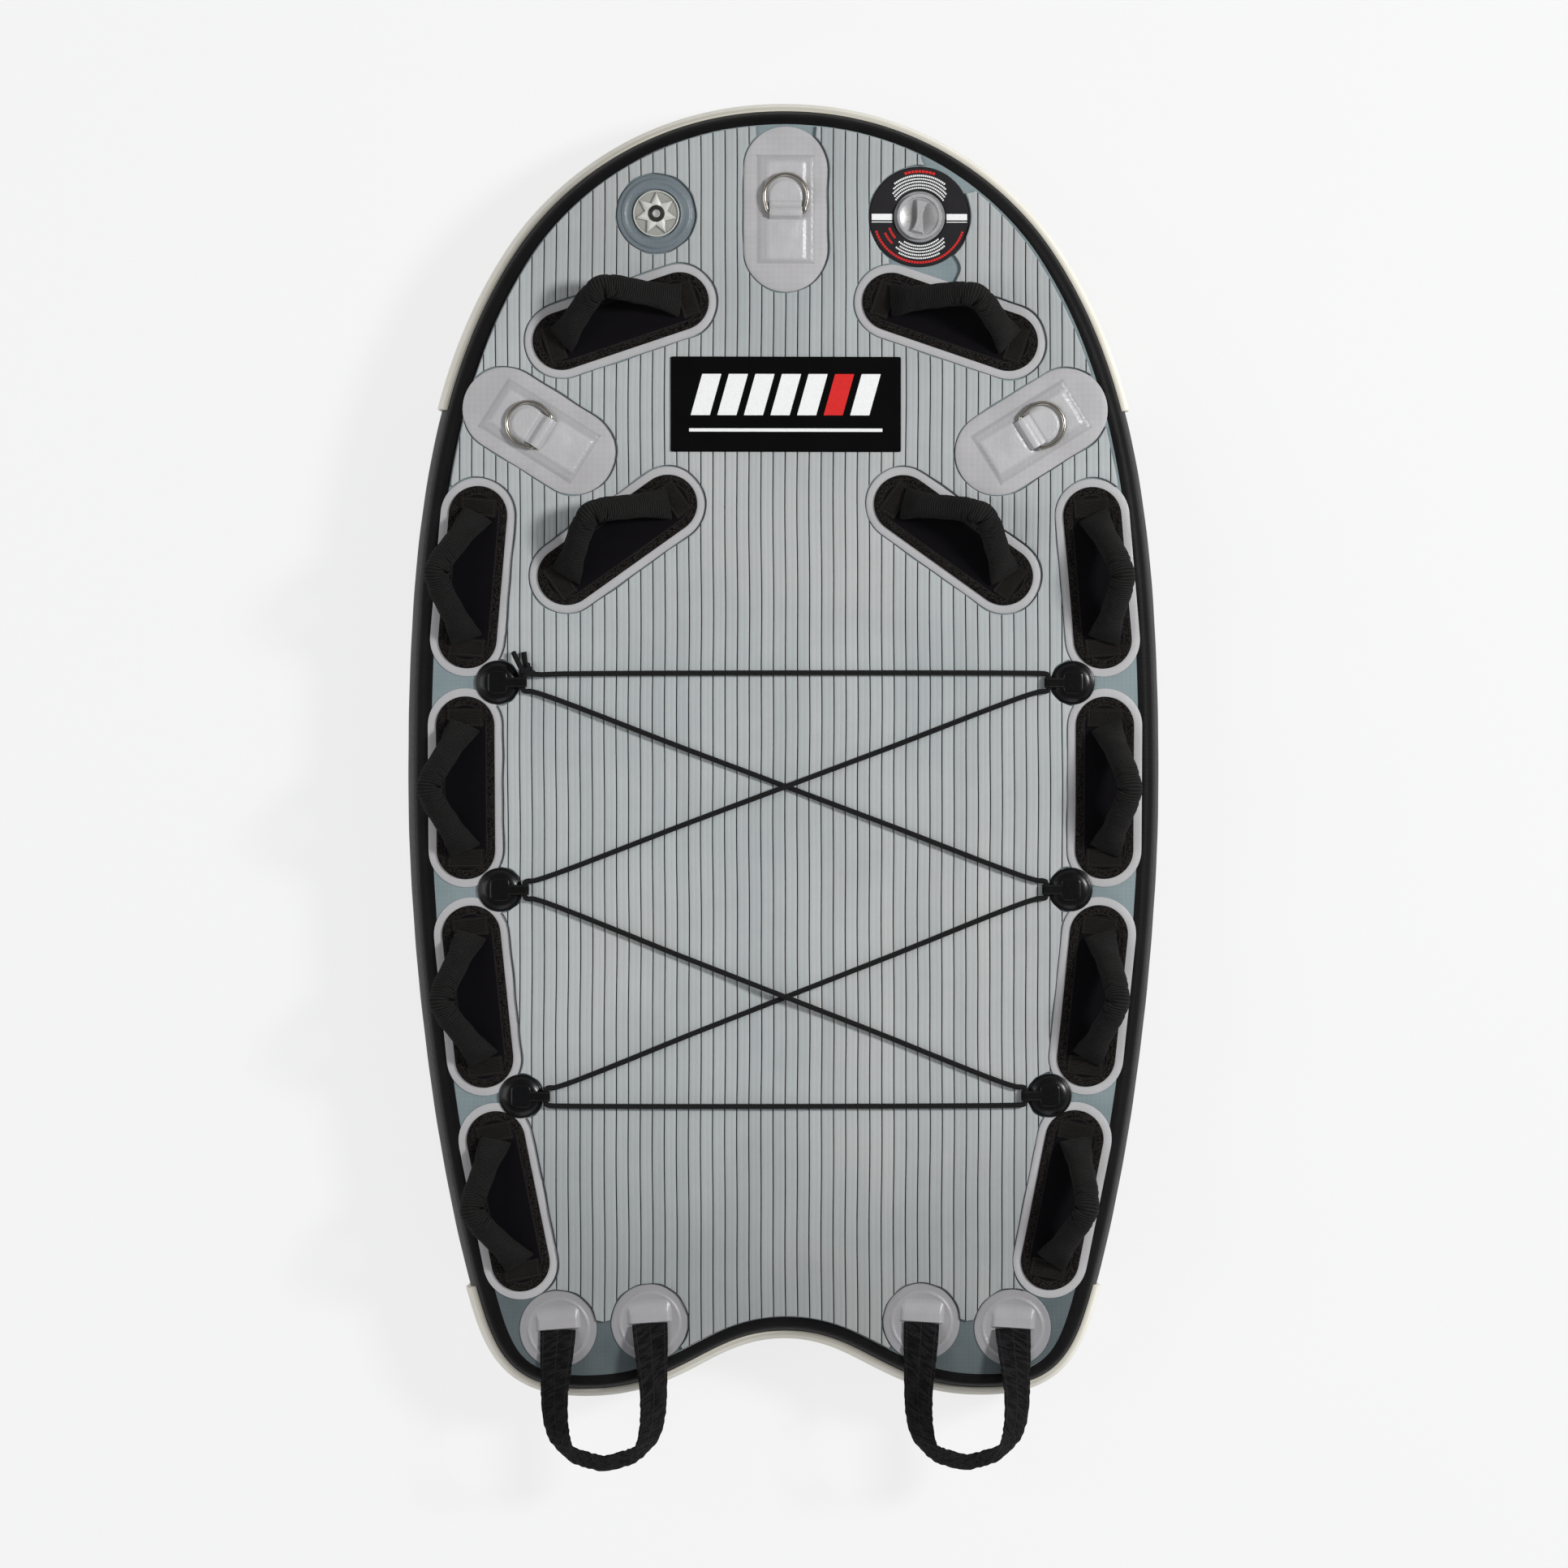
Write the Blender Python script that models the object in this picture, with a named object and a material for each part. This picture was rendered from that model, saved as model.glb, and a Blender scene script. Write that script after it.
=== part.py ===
"""Inflatable rescue sled towed behind a watercraft, lying flat on its underside.

Metres. +X is to the right of a person lying on the deck, +Y points to the nose and +Z up.
The origin lies on the underside, halfway between the nose and the tail.
"""

import math

import bmesh
import bpy
import numpy as np
from mathutils import Matrix, Vector

# Fits
GAP = 0.0003            # space kept between two pieces that touch
RUNNING_GAP = 0.0005    # space round a piece that turns or slides in another
PAD_GAP = 0.0015        # joint line between the deck pad and a patch let into it

# Hull outline, seen from above: the line where the seam tape ends on the side wall
NOSE_Y = 0.8652
NOSE_FULLNESS = 0.199       # how far the blunt nose runs sideways before it turns
SHOULDER_X = 0.362
SHOULDER_Y = 0.6776
SHOULDER_SLOPE = 33.8       # degrees from the long axis
SHOULDER_EASE_NOSE = 0.082
SHOULDER_EASE_SIDE = 0.196
HALF_WIDTH = 0.5033
WIDEST_Y = -0.040
WIDEST_EASE_NOSE = 0.342
WIDEST_EASE_TAIL = 0.201
QUARTER_X = 0.420           # where the side ends and the tail corner starts
QUARTER_Y = -0.723
QUARTER_SLOPE = 14.9        # degrees from the long axis
QUARTER_EASE_SIDE = 0.209
QUARTER_EASE_TAIL = 0.098
TAIL_X = 0.270              # the tail corner's rearmost point
TAIL_Y = -0.8674
TAIL_EASE_OUT = 0.105
TAIL_EASE_IN = 0.132
NOTCH_DEPTH = 0.0781
NOTCH_EASE = 0.107

# Hull section
HULL_THICKNESS = 0.150
EDGE_RADIUS = 0.016
BULGE_RADIUS = 0.170
SKIN = 0.0012
TAPE_FLAT = 0.0005          # seam tape beyond the rounded edge, on the flat
TAPE_SIDE_EXTRA = 0.005     # the tape is wider along the sides
TAPE_DROP = 0.0185          # seam tape's lower edge, below the deck

# Rubbing strakes round the nose and the tail
STRAKE_TOP = 0.0215         # below the deck
STRAKE_BASE = 0.004
STRAKE_RIB = 0.008
STRAKE_LIP = 0.0025
NOSE_STRAKE_END = 0.459
TAIL_STRAKE_END = -0.729

# Deck
PATCH = 0.0012              # thickness of every welded patch
DECK_PAD = 0.005
PAD_EDGE = 0.0015           # from the seam tape to the deck pad
NAME_PANEL_LENGTH = 0.312
NAME_PANEL_WIDTH = 0.129
NAME_PANEL = 0.0008
NAME_PANEL_Y = 0.4664

# Handles: a patch with a knuckle pad on it, two sewn tabs and a padded grip
HANDLE_STRAIGHT = 0.1683    # between the centres of the patch's round ends
HANDLE_PATCH_WIDTH = 0.1012
KNUCKLE_WIDTH = 0.0792
KNUCKLE_PAD = 0.0045
TAB_LENGTH = 0.0255
TAB_WIDTH = 0.050
TAB = 0.0025
TAB_INNER = 0.0825          # from the handle's centre to a tab's inner edge
GRIP_FOOT = 0.0790          # from the handle's centre to where the webbing rises
GRIP_PIN = 0.003            # radius of the rolled webbing end that the grip turns on
GRIP_RADIUS = 0.0155
GRIP_HEIGHT = 0.068
# Distance up the leg, half thickness and half width, from the pressed foot to the full round
GRIP_SECTIONS = (
    (0.004, 0.003, 0.007),
    (0.010, 0.0045, 0.011),
    (0.020, 0.0085, 0.0155),
    (0.036, 0.0155, 0.0155),
)
SIDE_HANDLE_INSET = 0.0700  # from the hull outline to the handle's centre
SIDE_HANDLE_Y = (0.232, -0.053, -0.3355, -0.6125)
SIDE_HANDLE_LEAN = {"left": 42.0, "right": 25.0}
BOW_HANDLE_INSET = 0.1928
BOW_HANDLE_Y = 0.5789
BOW_HANDLE_TURN = 18.7
CHEST_HANDLE_INSET = 0.2608
CHEST_HANDLE_Y = 0.2827
CHEST_HANDLE_TURN = 35.5
CROSS_HANDLE_LEAN = 45.0
CROSS_APEX_SHIFT = 0.012    # towards the hull's side

# Tow patches with their rings
TOW_STRAIGHT = 0.110
TOW_WIDTH = 0.1144
TOW_BLOCK_LENGTH = 0.147
TOW_BLOCK_WIDTH = 0.077
TOW_BLOCK_SLOPE = 0.005
TOW_BLOCK = 0.002
TOW_BAND_LENGTH = 0.130
TOW_BAND = 0.001
KEEPER_WIDTH = 0.047
KEEPER_LENGTH = 0.017
KEEPER_WALL = 0.0018
RING_WIRE = 0.003
RING_RADIUS = 0.0293
RING_REACH = 0.0513
RING_CORNER = 0.005
RING_SET_BACK = 0.0044      # the ring's bar, behind the patch's centre
NOSE_TOW_Y = 0.731
NOSE_CUT_WIDTH = 0.082      # where the deck pad is open from the nose patch to the seam tape
SIDE_TOW_Y = 0.430
SIDE_TOW_INSET = 0.1308
SIDE_TOW_TURN = 32.0

# Cord anchors and the bungee cord
ANCHOR_RADIUS = 0.0297
ANCHOR_FOOT = 0.0185
ANCHOR_RIM = 0.0012
ANCHOR_DOME = 0.0055
ANCHOR_HUMP_LENGTH = 0.026
ANCHOR_HUMP_WIDTH = 0.030
ANCHOR_HUMP = 0.0035
ANCHOR_INSET = 0.1115
ANCHOR_Y = (0.0895, -0.1910, -0.4705)
EYE_REACH = 0.034           # from the anchor's centre to its webbing eye
EYE_WIDTH = 0.014
EYE_WEBBING = 0.0018
CORD_RADIUS = 0.0035
CORD_LEG_SPREAD = 0.0126    # from an eye's centre to each leg of the cord
CORD_BEND = 0.0085
CORD_CROSSING_GAP = 0.0008
CORD_STEP = 0.00045         # how far the tube may cut a corner
KNOT_REACH = 0.0125         # from the eye to the knot, inboard
KNOT_RADIUS = 0.0078
KNOT_HEIGHT = 0.0146

# Tail straps
STRAP_WIDTH = 0.048
STRAP = 0.0035
STRAP_REACH = 0.1825        # from the mouths to the middle of the loop's end
STRAP_LEG = 0.086           # the straight part of a leg
STRAP_LEG_SHARE = 0.42      # of the way to the loop's end
STRAP_SPLAY = 0.005
STRAP_SQUARENESS = 0.755    # 1 would make the loop's end an ellipse
STRAP_RISE = 0.0155
STRAP_DROP = 0.024
STRAP_END_TILT = 64.0       # degrees from level, at the loop's end
STRAP_TWIST = 0.75
STRAP_PATCH_RADIUS = 0.0520
STRAP_HUMP_LENGTH = 0.033
STRAP_HUMP = 0.005
STRAP_VALLEY = 0.002        # how far the deck pad dips behind a strap's two patches
OUTER_STRAP = (0.308, -0.7855)
INNER_STRAP = (0.1842, -0.7770)

# Valves
VALVE_POCKET_GAP = 0.001
RELIEF_X = -0.1755
RELIEF_Y = 0.7244
RELIEF_BOOT_RADIUS = 0.0535
RELIEF_RIDGE_RADIUS = 0.044
RELIEF_RIDGE_WIDTH = 0.008
RELIEF_RIDGE = 0.002
RELIEF_FLANGE_RADIUS = 0.0312
RELIEF_FLANGE = 0.0045
RELIEF_STAR_POINTS = 7
RELIEF_STAR = 0.0014
RELIEF_WELL_RADIUS = 0.0113
RELIEF_WELL = 0.004
RELIEF_BUTTON_RADIUS = 0.0055
RELIEF_TRAVEL = 0.003
BARREL_RADIUS = 0.019
BARREL_LENGTH = 0.038
STEM_RADIUS = 0.0025
INFLATION_X = 0.1815
INFLATION_Y = 0.7211
LABEL_RADIUS = 0.0682
INFLATION_FLANGE_RADIUS = 0.0345
INFLATION_FLANGE = 0.003
SOCKET_RADIUS = 0.0125
SOCKET = 0.022
CAP_RADIUS = 0.031
CAP = 0.005
CAP_GRIP = 0.0035
CAP_GRIP_LENGTH = 0.044
CAP_GRIP_WIDTH = 0.017
CAP_GRIP_WAIST = 0.008
CAP_PLUG = 0.007
INFLATION_TRAVEL = 0.004
INFLATION_STEM_RADIUS = 0.004
INFLATION_HEAD = 0.002
INFLATION_HEAD_RADIUS = 0.0064
CAP_TURN = 75.0             # how the closed cap's grip lies, from the X axis

# Levels, from the underside up
DECK = HULL_THICKNESS
PATCH_BOTTOM = DECK + GAP
PATCH_TOP = PATCH_BOTTOM + PATCH
PAD_BOTTOM = DECK + GAP
PAD_TOP = PAD_BOTTOM + DECK_PAD
KNUCKLE_TOP = PATCH_TOP + KNUCKLE_PAD
GRIP_AXIS = KNUCKLE_TOP + GAP + GRIP_PIN
TOW_BLOCK_TOP = PATCH_TOP + TOW_BLOCK + TOW_BAND
RING_AXIS = TOW_BLOCK_TOP + GAP + RING_WIRE
EYE_RADIUS = CORD_RADIUS + RUNNING_GAP
EYE_AXIS = PAD_TOP + GAP + EYE_WEBBING + EYE_RADIUS
STRAP_AXIS = PATCH_TOP + STRAP_HUMP + GAP

# Fineness of round shapes
DISC_SIDES = 18
SMALL_SIDES = 12
TUBE_SIDES = 8
END_STEPS = 5               # steps round one end of a patch
OUTLINE_STEPS = (6, 6, 4, 6, 7)


def clear_scene():
    for obj in list(bpy.data.objects):
        bpy.data.objects.remove(obj, do_unlink=True)


def material(name, colour, roughness, metallic=0.0):
    made = bpy.data.materials.new(name)
    made.use_nodes = True
    shader = made.node_tree.nodes["Principled BSDF"]
    shader.inputs["Base Color"].default_value = (*colour, 1.0)
    shader.inputs["Roughness"].default_value = roughness
    shader.inputs["Metallic"].default_value = metallic
    return made


def mesh_of(points, faces):
    """A closed mesh whose faces point outwards."""
    made = bpy.data.meshes.new("shape")
    made.from_pydata([tuple(map(float, point)) for point in points], [], faces)
    work = bmesh.new()
    work.from_mesh(made)
    bmesh.ops.recalc_face_normals(work, faces=work.faces)
    work.to_mesh(made)
    work.free()
    return made


def loft(rings, round_path=False):
    """A skin over rings of points. It has an end face at each end, unless the path is round."""
    rings = [np.asarray(ring, float) for ring in rings]
    around = len(rings[0])
    faces = []
    spans = len(rings) if round_path else len(rings) - 1
    for i in range(spans):
        here = i * around
        there = (i + 1) % len(rings) * around
        for j in range(around):
            k = (j + 1) % around
            faces.append((here + j, here + k, there + k, there + j))
    if not round_path:
        last = (len(rings) - 1) * around
        faces.append(tuple(range(around)))
        faces.append(tuple(range(last, last + around)))
    return mesh_of(np.vstack(rings), faces)


def combine(base, others, operation):
    """The Boolean of one mesh with others."""
    helpers = [bpy.data.objects.new("helper", mesh) for mesh in [base, *others]]
    for helper in helpers:
        bpy.context.collection.objects.link(helper)
    for helper in helpers[1:]:
        step = helpers[0].modifiers.new("cut", "BOOLEAN")
        step.operation = operation
        step.object = helper
    graph = bpy.context.evaluated_depsgraph_get()
    made = bpy.data.meshes.new_from_object(helpers[0].evaluated_get(graph))
    for helper in helpers:
        bpy.data.objects.remove(helper, do_unlink=True)
    return made


def union(base, *others):
    return combine(base, others, "UNION")


def cut(base, *others):
    return combine(base, others, "DIFFERENCE")


def add(name, mesh, look, location=(0, 0, 0), turn=0.0, lean=0.0):
    """Links a piece. It turns about Z by turn, after it leans from Z towards its own +Y."""
    obj = bpy.data.objects.new(name, mesh)
    bpy.context.collection.objects.link(obj)
    obj.location = location
    obj.rotation_euler = (-math.radians(lean), 0, math.radians(turn))
    if not mesh.materials:
        mesh.materials.append(look)
    mesh.shade_smooth()
    mesh.set_sharp_from_angle(angle=math.radians(35))
    return obj


def circle(radius, sides, z=0.0):
    angle = np.arange(sides) * math.tau / sides
    return np.column_stack([radius * np.cos(angle), radius * np.sin(angle), np.full(sides, z)])


def turned(profile, sides):
    """A solid turned about Z from (radius, height) points, which run up its outer side."""
    return loft([circle(radius, sides, z) for radius, z in profile])


def stadium(straight, width, z=0.0):
    """A slot shape along X with round ends, as a ring of points."""
    angle = np.linspace(-90, 90, END_STEPS + 1)[:, None] * math.pi / 180
    end = np.hstack([np.cos(angle), np.sin(angle)]) * width / 2
    ring = np.vstack([end + (straight / 2, 0), -end - (straight / 2, 0)])
    return np.column_stack([ring, np.full(len(ring), z)])


def block(length, width, low, high, slope=0.0, centre=0.0):
    """A block, narrower at the top by slope on every side, centred at X = centre."""
    rings = []
    for z, inset in ((low, 0.0), (high, slope)):
        x, y = length / 2 - inset, width / 2 - inset
        rings.append([(centre - x, -y, z), (centre + x, -y, z), (centre + x, y, z), (centre - x, y, z)])
    return loft(rings)


def prism(outline, low, high):
    """A flat plate over an outline of (x, y) points."""
    outline = np.asarray(outline, float)[:, :2]
    return loft([np.column_stack([outline, np.full(len(outline), z)]) for z in (low, high)])


def moved(mesh, location, turn=0.0):
    copy = mesh.copy()
    copy.transform(Matrix.Translation(location) @ Matrix.Rotation(math.radians(turn), 4, "Z"))
    return copy


def tube(path, radii, sides=TUBE_SIDES, side_axis=(0, 1, 0), closed=False):
    """A round or oval tube along a path square to side_axis.

    A radius is one size, or the size along side_axis and the size across it.
    """
    path = np.asarray(path, float)
    if closed:
        forward = np.roll(path, -1, axis=0) - np.roll(path, 1, axis=0)
    else:
        forward = np.gradient(path, axis=0)
    forward /= np.linalg.norm(forward, axis=1)[:, None]
    side = np.asarray(side_axis, float)
    angle = (np.arange(sides) + 0.5)[:, None] * math.tau / sides
    rings = []
    for point, ahead, radius in zip(path, forward, radii):
        along_side, across = np.broadcast_to(radius, 2)
        other = np.cross(ahead, side)
        rings.append(point + along_side * np.cos(angle) * side + across * np.sin(angle) * other)
    return loft(rings, round_path=closed)


def bezier(corners, t):
    """Points and directions on a cubic curve."""
    a, b, c, d = (np.asarray(corner, float) for corner in corners)
    t = np.asarray(t, float)[:, None]
    s = 1 - t
    point = s**3 * a + 3 * s * s * t * b + 3 * s * t * t * c + t**3 * d
    along = s * s * (b - a) + 2 * s * t * (c - b) + t * t * (d - c)
    return point, along / np.linalg.norm(along, axis=1)[:, None]


def half_outline_curves():
    """The right half of the hull outline, from the nose to the middle of the tail notch."""
    nose = np.array((0, NOSE_Y))
    shoulder = np.array((SHOULDER_X, SHOULDER_Y))
    down = np.array((math.sin(math.radians(SHOULDER_SLOPE)), -math.cos(math.radians(SHOULDER_SLOPE))))
    widest = np.array((HALF_WIDTH, WIDEST_Y))
    quarter = np.array((QUARTER_X, QUARTER_Y))
    inward = np.array((-math.sin(math.radians(QUARTER_SLOPE)), -math.cos(math.radians(QUARTER_SLOPE))))
    corner = np.array((TAIL_X, TAIL_Y))
    notch = np.array((0, TAIL_Y + NOTCH_DEPTH))
    return [
        (nose, nose + (NOSE_FULLNESS, 0), shoulder - SHOULDER_EASE_NOSE * down, shoulder),
        (shoulder, shoulder + SHOULDER_EASE_SIDE * down, widest + (0, WIDEST_EASE_NOSE), widest),
        (widest, widest - (0, WIDEST_EASE_TAIL), quarter - QUARTER_EASE_SIDE * inward, quarter),
        (quarter, quarter + QUARTER_EASE_TAIL * inward, corner + (TAIL_EASE_OUT, 0), corner),
        (corner, corner - (TAIL_EASE_IN, 0), notch + (NOTCH_EASE, 0), notch),
    ]


HALF_CURVES = half_outline_curves()


def outline_at(stations):
    """Points and outward directions at stations: 0 at the nose, 5 at the notch, negative on the left."""
    points, outward = [], []
    for station in stations:
        place = min(abs(station), len(HALF_CURVES) - 1e-9)
        curve = int(place)
        point, along = bezier(HALF_CURVES[curve], [place - curve])
        side = -1 if station < 0 else 1
        points.append((side * point[0, 0], point[0, 1]))
        outward.append((-side * along[0, 1], along[0, 0]))
    return np.array(points), np.array(outward)


def half_stations():
    """Stations down the right side of the hull, from the nose to the notch."""
    stations = [i + j / steps for i, steps in enumerate(OUTLINE_STEPS) for j in range(steps)]
    return stations + [len(OUTLINE_STEPS)]


def whole_outline():
    """Stations round the whole hull, clockwise from the nose."""
    right = half_stations()
    return right + [-station for station in right[-2:0:-1]]


DENSE = np.linspace(0, 4, 401)
DENSE_POINTS, DENSE_OUTWARD = outline_at(DENSE)


def station_at_y(y):
    """The station on the right side of the hull at a distance from the middle."""
    return float(np.interp(-y, -DENSE_POINTS[:, 1], DENSE))


def beside_edge(y, inset, side):
    """A point on the deck, inset from the outline, and the outline's outward angle there in degrees."""
    station = station_at_y(y)
    point, outward = outline_at([station])
    angle = math.degrees(math.atan2(outward[0, 1], outward[0, 0]))
    if side < 0:
        angle = 180 - angle
    return (side * (point[0, 0] - inset), y), angle


# The wall's section: two edge arcs and the bulge between them, all tangent
MIDDLE = HULL_THICKNESS / 2
JOIN_ANGLE = math.degrees(math.asin((MIDDLE - EDGE_RADIUS) / (BULGE_RADIUS - EDGE_RADIUS)))
EDGE_CENTRE = BULGE_RADIUS - (BULGE_RADIUS - EDGE_RADIUS) * math.cos(math.radians(JOIN_ANGLE))
TAPE_ANGLE = math.degrees(math.asin((MIDDLE - TAPE_DROP) / BULGE_RADIUS))
BULGE_DEPTH = BULGE_RADIUS * (1 - math.cos(math.radians(TAPE_ANGLE)))
TAPE_INNER = EDGE_CENTRE + TAPE_FLAT     # inwards from the bulge's outermost line
DECK_MARGIN = TAPE_INNER - BULGE_DEPTH   # inwards from the hull outline


def section_point(angle, inset=0.0):
    """(outward, z) on the wall where it faces this many degrees above level, set in from its surface."""
    up, level = math.sin(math.radians(angle)), math.cos(math.radians(angle))
    if abs(angle) <= JOIN_ANGLE:
        across, z, radius = BULGE_RADIUS, MIDDLE, BULGE_RADIUS - inset
    else:
        across, radius = EDGE_CENTRE, EDGE_RADIUS - inset
        z = MIDDLE + math.copysign(MIDDLE - EDGE_RADIUS, angle)
    return BULGE_DEPTH - (across - radius * level), z + radius * up


def swept(profile, stations, closed, side_extra=0.0):
    """A solid whose (outward, z) profile follows the hull outline. Its inner corners reach further in
    along the sides, by side_extra."""
    points, outward = outline_at(stations)
    inner = min(reach for reach, _ in profile)
    rings = []
    for point, away in zip(points, outward):
        ring = []
        for reach, z in profile:
            extra = side_extra * away[0] ** 6 if reach == inner else 0.0
            ring.append((*(point + (reach - extra) * away), z))
        rings.append(ring)
    return loft(rings, round_path=closed)


def deck_outline(inset):
    """The seam tape's inner edge on the deck, set in further."""
    points, outward = outline_at(whole_outline())
    margin = DECK_MARGIN + TAPE_SIDE_EXTRA * outward[:, :1] ** 6 + inset
    return points - margin * outward


def add_hull(look):
    round_hull = whole_outline()
    inner = SKIN + GAP
    core = [section_point(angle, inner) for angle in (90, 56, JOIN_ANGLE)]
    core += [(reach, HULL_THICKNESS - z) for reach, z in reversed(core)]
    points, outward = outline_at(round_hull)
    rings = [np.column_stack([points + reach * outward, np.full(len(points), z)]) for reach, z in core]
    pockets = []
    for x, y in ((RELIEF_X, RELIEF_Y), (INFLATION_X, INFLATION_Y)):
        reach = BARREL_RADIUS + VALVE_POCKET_GAP
        depth = DECK - BARREL_LENGTH - RELIEF_TRAVEL - INFLATION_TRAVEL
        pockets.append(moved(prism(circle(reach, DISC_SIDES), depth, DECK + GAP), (x, y, 0)))
    add("drop_stitch_core", cut(loft(rings), *pockets), look["threads"])

    skin_edge = deck_outline(GAP)
    holes = []
    for x, y in ((RELIEF_X, RELIEF_Y), (INFLATION_X, INFLATION_Y)):
        hole = prism(circle(BARREL_RADIUS + GAP, DISC_SIDES), DECK - 2 * SKIN, DECK + SKIN)
        holes.append(moved(hole, (x, y, 0)))
    add("top_skin", cut(prism(skin_edge, DECK - SKIN, DECK), *holes), look["skin"])
    add("bottom_skin", prism(skin_edge, 0, SKIN), look["skin"])

    angles = wall_angles()
    wall = [section_point(angle) for angle in angles]
    wall += [section_point(angle, SKIN) for angle in reversed(angles)]
    add("side_wall", swept(wall, round_hull, True), look["wall"])

    flat = -DECK_MARGIN
    angles = (90, 56, JOIN_ANGLE, TAPE_ANGLE)
    tape = [(flat, HULL_THICKNESS)] + [section_point(angle) for angle in angles]
    tape += [section_point(angle, SKIN) for angle in reversed(angles)] + [(flat, HULL_THICKNESS - SKIN)]
    add("upper_seam_tape", swept(tape, round_hull, True, TAPE_SIDE_EXTRA), look["tape"])
    mirrored = [(reach, HULL_THICKNESS - z) for reach, z in tape]
    add("lower_seam_tape", swept(mirrored, round_hull, True, TAPE_SIDE_EXTRA), look["tape"])


def wall_angles():
    """The side wall's own angles, from the upper seam tape to the lower one."""
    end = TAPE_ANGLE - math.degrees(GAP / BULGE_RADIUS)
    return np.linspace(end, -end, 4)


def strake_profile():
    """Three ribs on a base that follows the bulge, a gap away from it."""
    top = MIDDLE - STRAKE_TOP
    heights = np.linspace(top, -top, 7)
    reaches = (STRAKE_LIP, STRAKE_RIB, STRAKE_BASE, STRAKE_RIB, STRAKE_BASE, STRAKE_RIB, STRAKE_LIP)
    angles = [math.degrees(math.asin(height / BULGE_RADIUS)) for height in heights]
    profile = [section_point(angle, -reach - GAP) for angle, reach in zip(angles, reaches)]
    base = [angles[-1], *wall_angles()[2:0:-1], angles[0]]
    return profile + [section_point(angle, -GAP) for angle in base]


def add_strakes(look):
    nose_end = station_at_y(NOSE_STRAKE_END)
    half = [station for station in half_stations() if station < nose_end] + [nose_end]
    stations = [-station for station in half[:0:-1]] + half
    add("nose_bumper", swept(strake_profile(), stations, False), look["strake"])
    tail_end = station_at_y(TAIL_STRAKE_END)
    half = [tail_end] + [station for station in half_stations() if station > tail_end]
    stations = half + [-station for station in half[-2::-1]]
    add("tail_bumper", swept(strake_profile(), stations, False), look["strake"])


def handles():
    """Every handle: name, centre, turn of its long axis, lean of its grip and shift of the grip's apex."""
    places = []
    for side, sign in (("left", -1), ("right", 1)):
        shift = sign * CROSS_APEX_SHIFT
        centre, _ = beside_edge(BOW_HANDLE_Y, BOW_HANDLE_INSET, sign)
        places.append((f"bow_{side}", centre, -sign * BOW_HANDLE_TURN, CROSS_HANDLE_LEAN, shift))
        centre, _ = beside_edge(CHEST_HANDLE_Y, CHEST_HANDLE_INSET, sign)
        places.append((f"chest_{side}", centre, -sign * CHEST_HANDLE_TURN, CROSS_HANDLE_LEAN, shift))
        for number, y in enumerate(SIDE_HANDLE_Y, 1):
            centre, outward = beside_edge(y, SIDE_HANDLE_INSET, sign)
            places.append((f"{side}_{number}", centre, outward - 90, SIDE_HANDLE_LEAN[side], 0.0))
    return places


def handle_pad():
    """A welded patch, the soft knuckle pad on it and the two sewn webbing tabs."""
    tiers = [
        (HANDLE_PATCH_WIDTH, 0),
        (HANDLE_PATCH_WIDTH, PATCH),
        (KNUCKLE_WIDTH, PATCH),
        (KNUCKLE_WIDTH - KNUCKLE_PAD, PATCH + KNUCKLE_PAD),
    ]
    body = loft([stadium(HANDLE_STRAIGHT, width, z) for width, z in tiers])
    bottom, top = PATCH + KNUCKLE_PAD / 2, PATCH + KNUCKLE_PAD + TAB
    reach = TAB_INNER + TAB_LENGTH / 2
    tabs = [block(TAB_LENGTH, TAB_WIDTH, bottom, top, 0.0, end * reach) for end in (-1, 1)]
    return union(body, *tabs)


def grip(apex_shift):
    """A padded arch in the XZ plane, pressed flat at its feet. It turns about X on its rolled ends."""
    halves = []
    for end in (-1, 1):
        foot = np.array((end * GRIP_FOOT, 0, 0))
        apex = np.array((apex_shift, 0, GRIP_HEIGHT))
        leg = apex - foot
        length = np.linalg.norm(leg)
        half = [((end * (TAB_INNER - GAP), 0, 0), GRIP_PIN), (foot, GRIP_PIN)]
        for distance, thickness, width in GRIP_SECTIONS:
            half.append((foot + leg * distance / length, (thickness, width)))
        half.append((apex - leg * 0.16 - (0, 0, 0.001), GRIP_RADIUS))
        halves.append(half)
    middle = [((apex_shift, 0, GRIP_HEIGHT - GRIP_RADIUS * 0.35), GRIP_RADIUS)]
    stations = halves[0] + middle + halves[1][::-1]
    return tube([point for point, _ in stations], [radius for _, radius in stations])


def add_handles(look):
    shared = handle_pad()
    for name, (x, y), turn, lean, shift in handles():
        add(f"handle_pad_{name}", shared, look["knuckle"], (x, y, PATCH_BOTTOM), turn)
        add(f"grip_{name}", grip(shift), look["webbing"], (x, y, GRIP_AXIS), turn, lean)


def tow_patches():
    """Every tow patch as (name, centre, turn). The ring points along its own +Y."""
    places = [("nose", (0, NOSE_TOW_Y), 0.0)]
    for side, sign in (("left", -1), ("right", 1)):
        centre, _ = beside_edge(SIDE_TOW_Y, SIDE_TOW_INSET, sign)
        places.append((side, centre, -sign * (90 - SIDE_TOW_TURN)))
    return places


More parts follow.
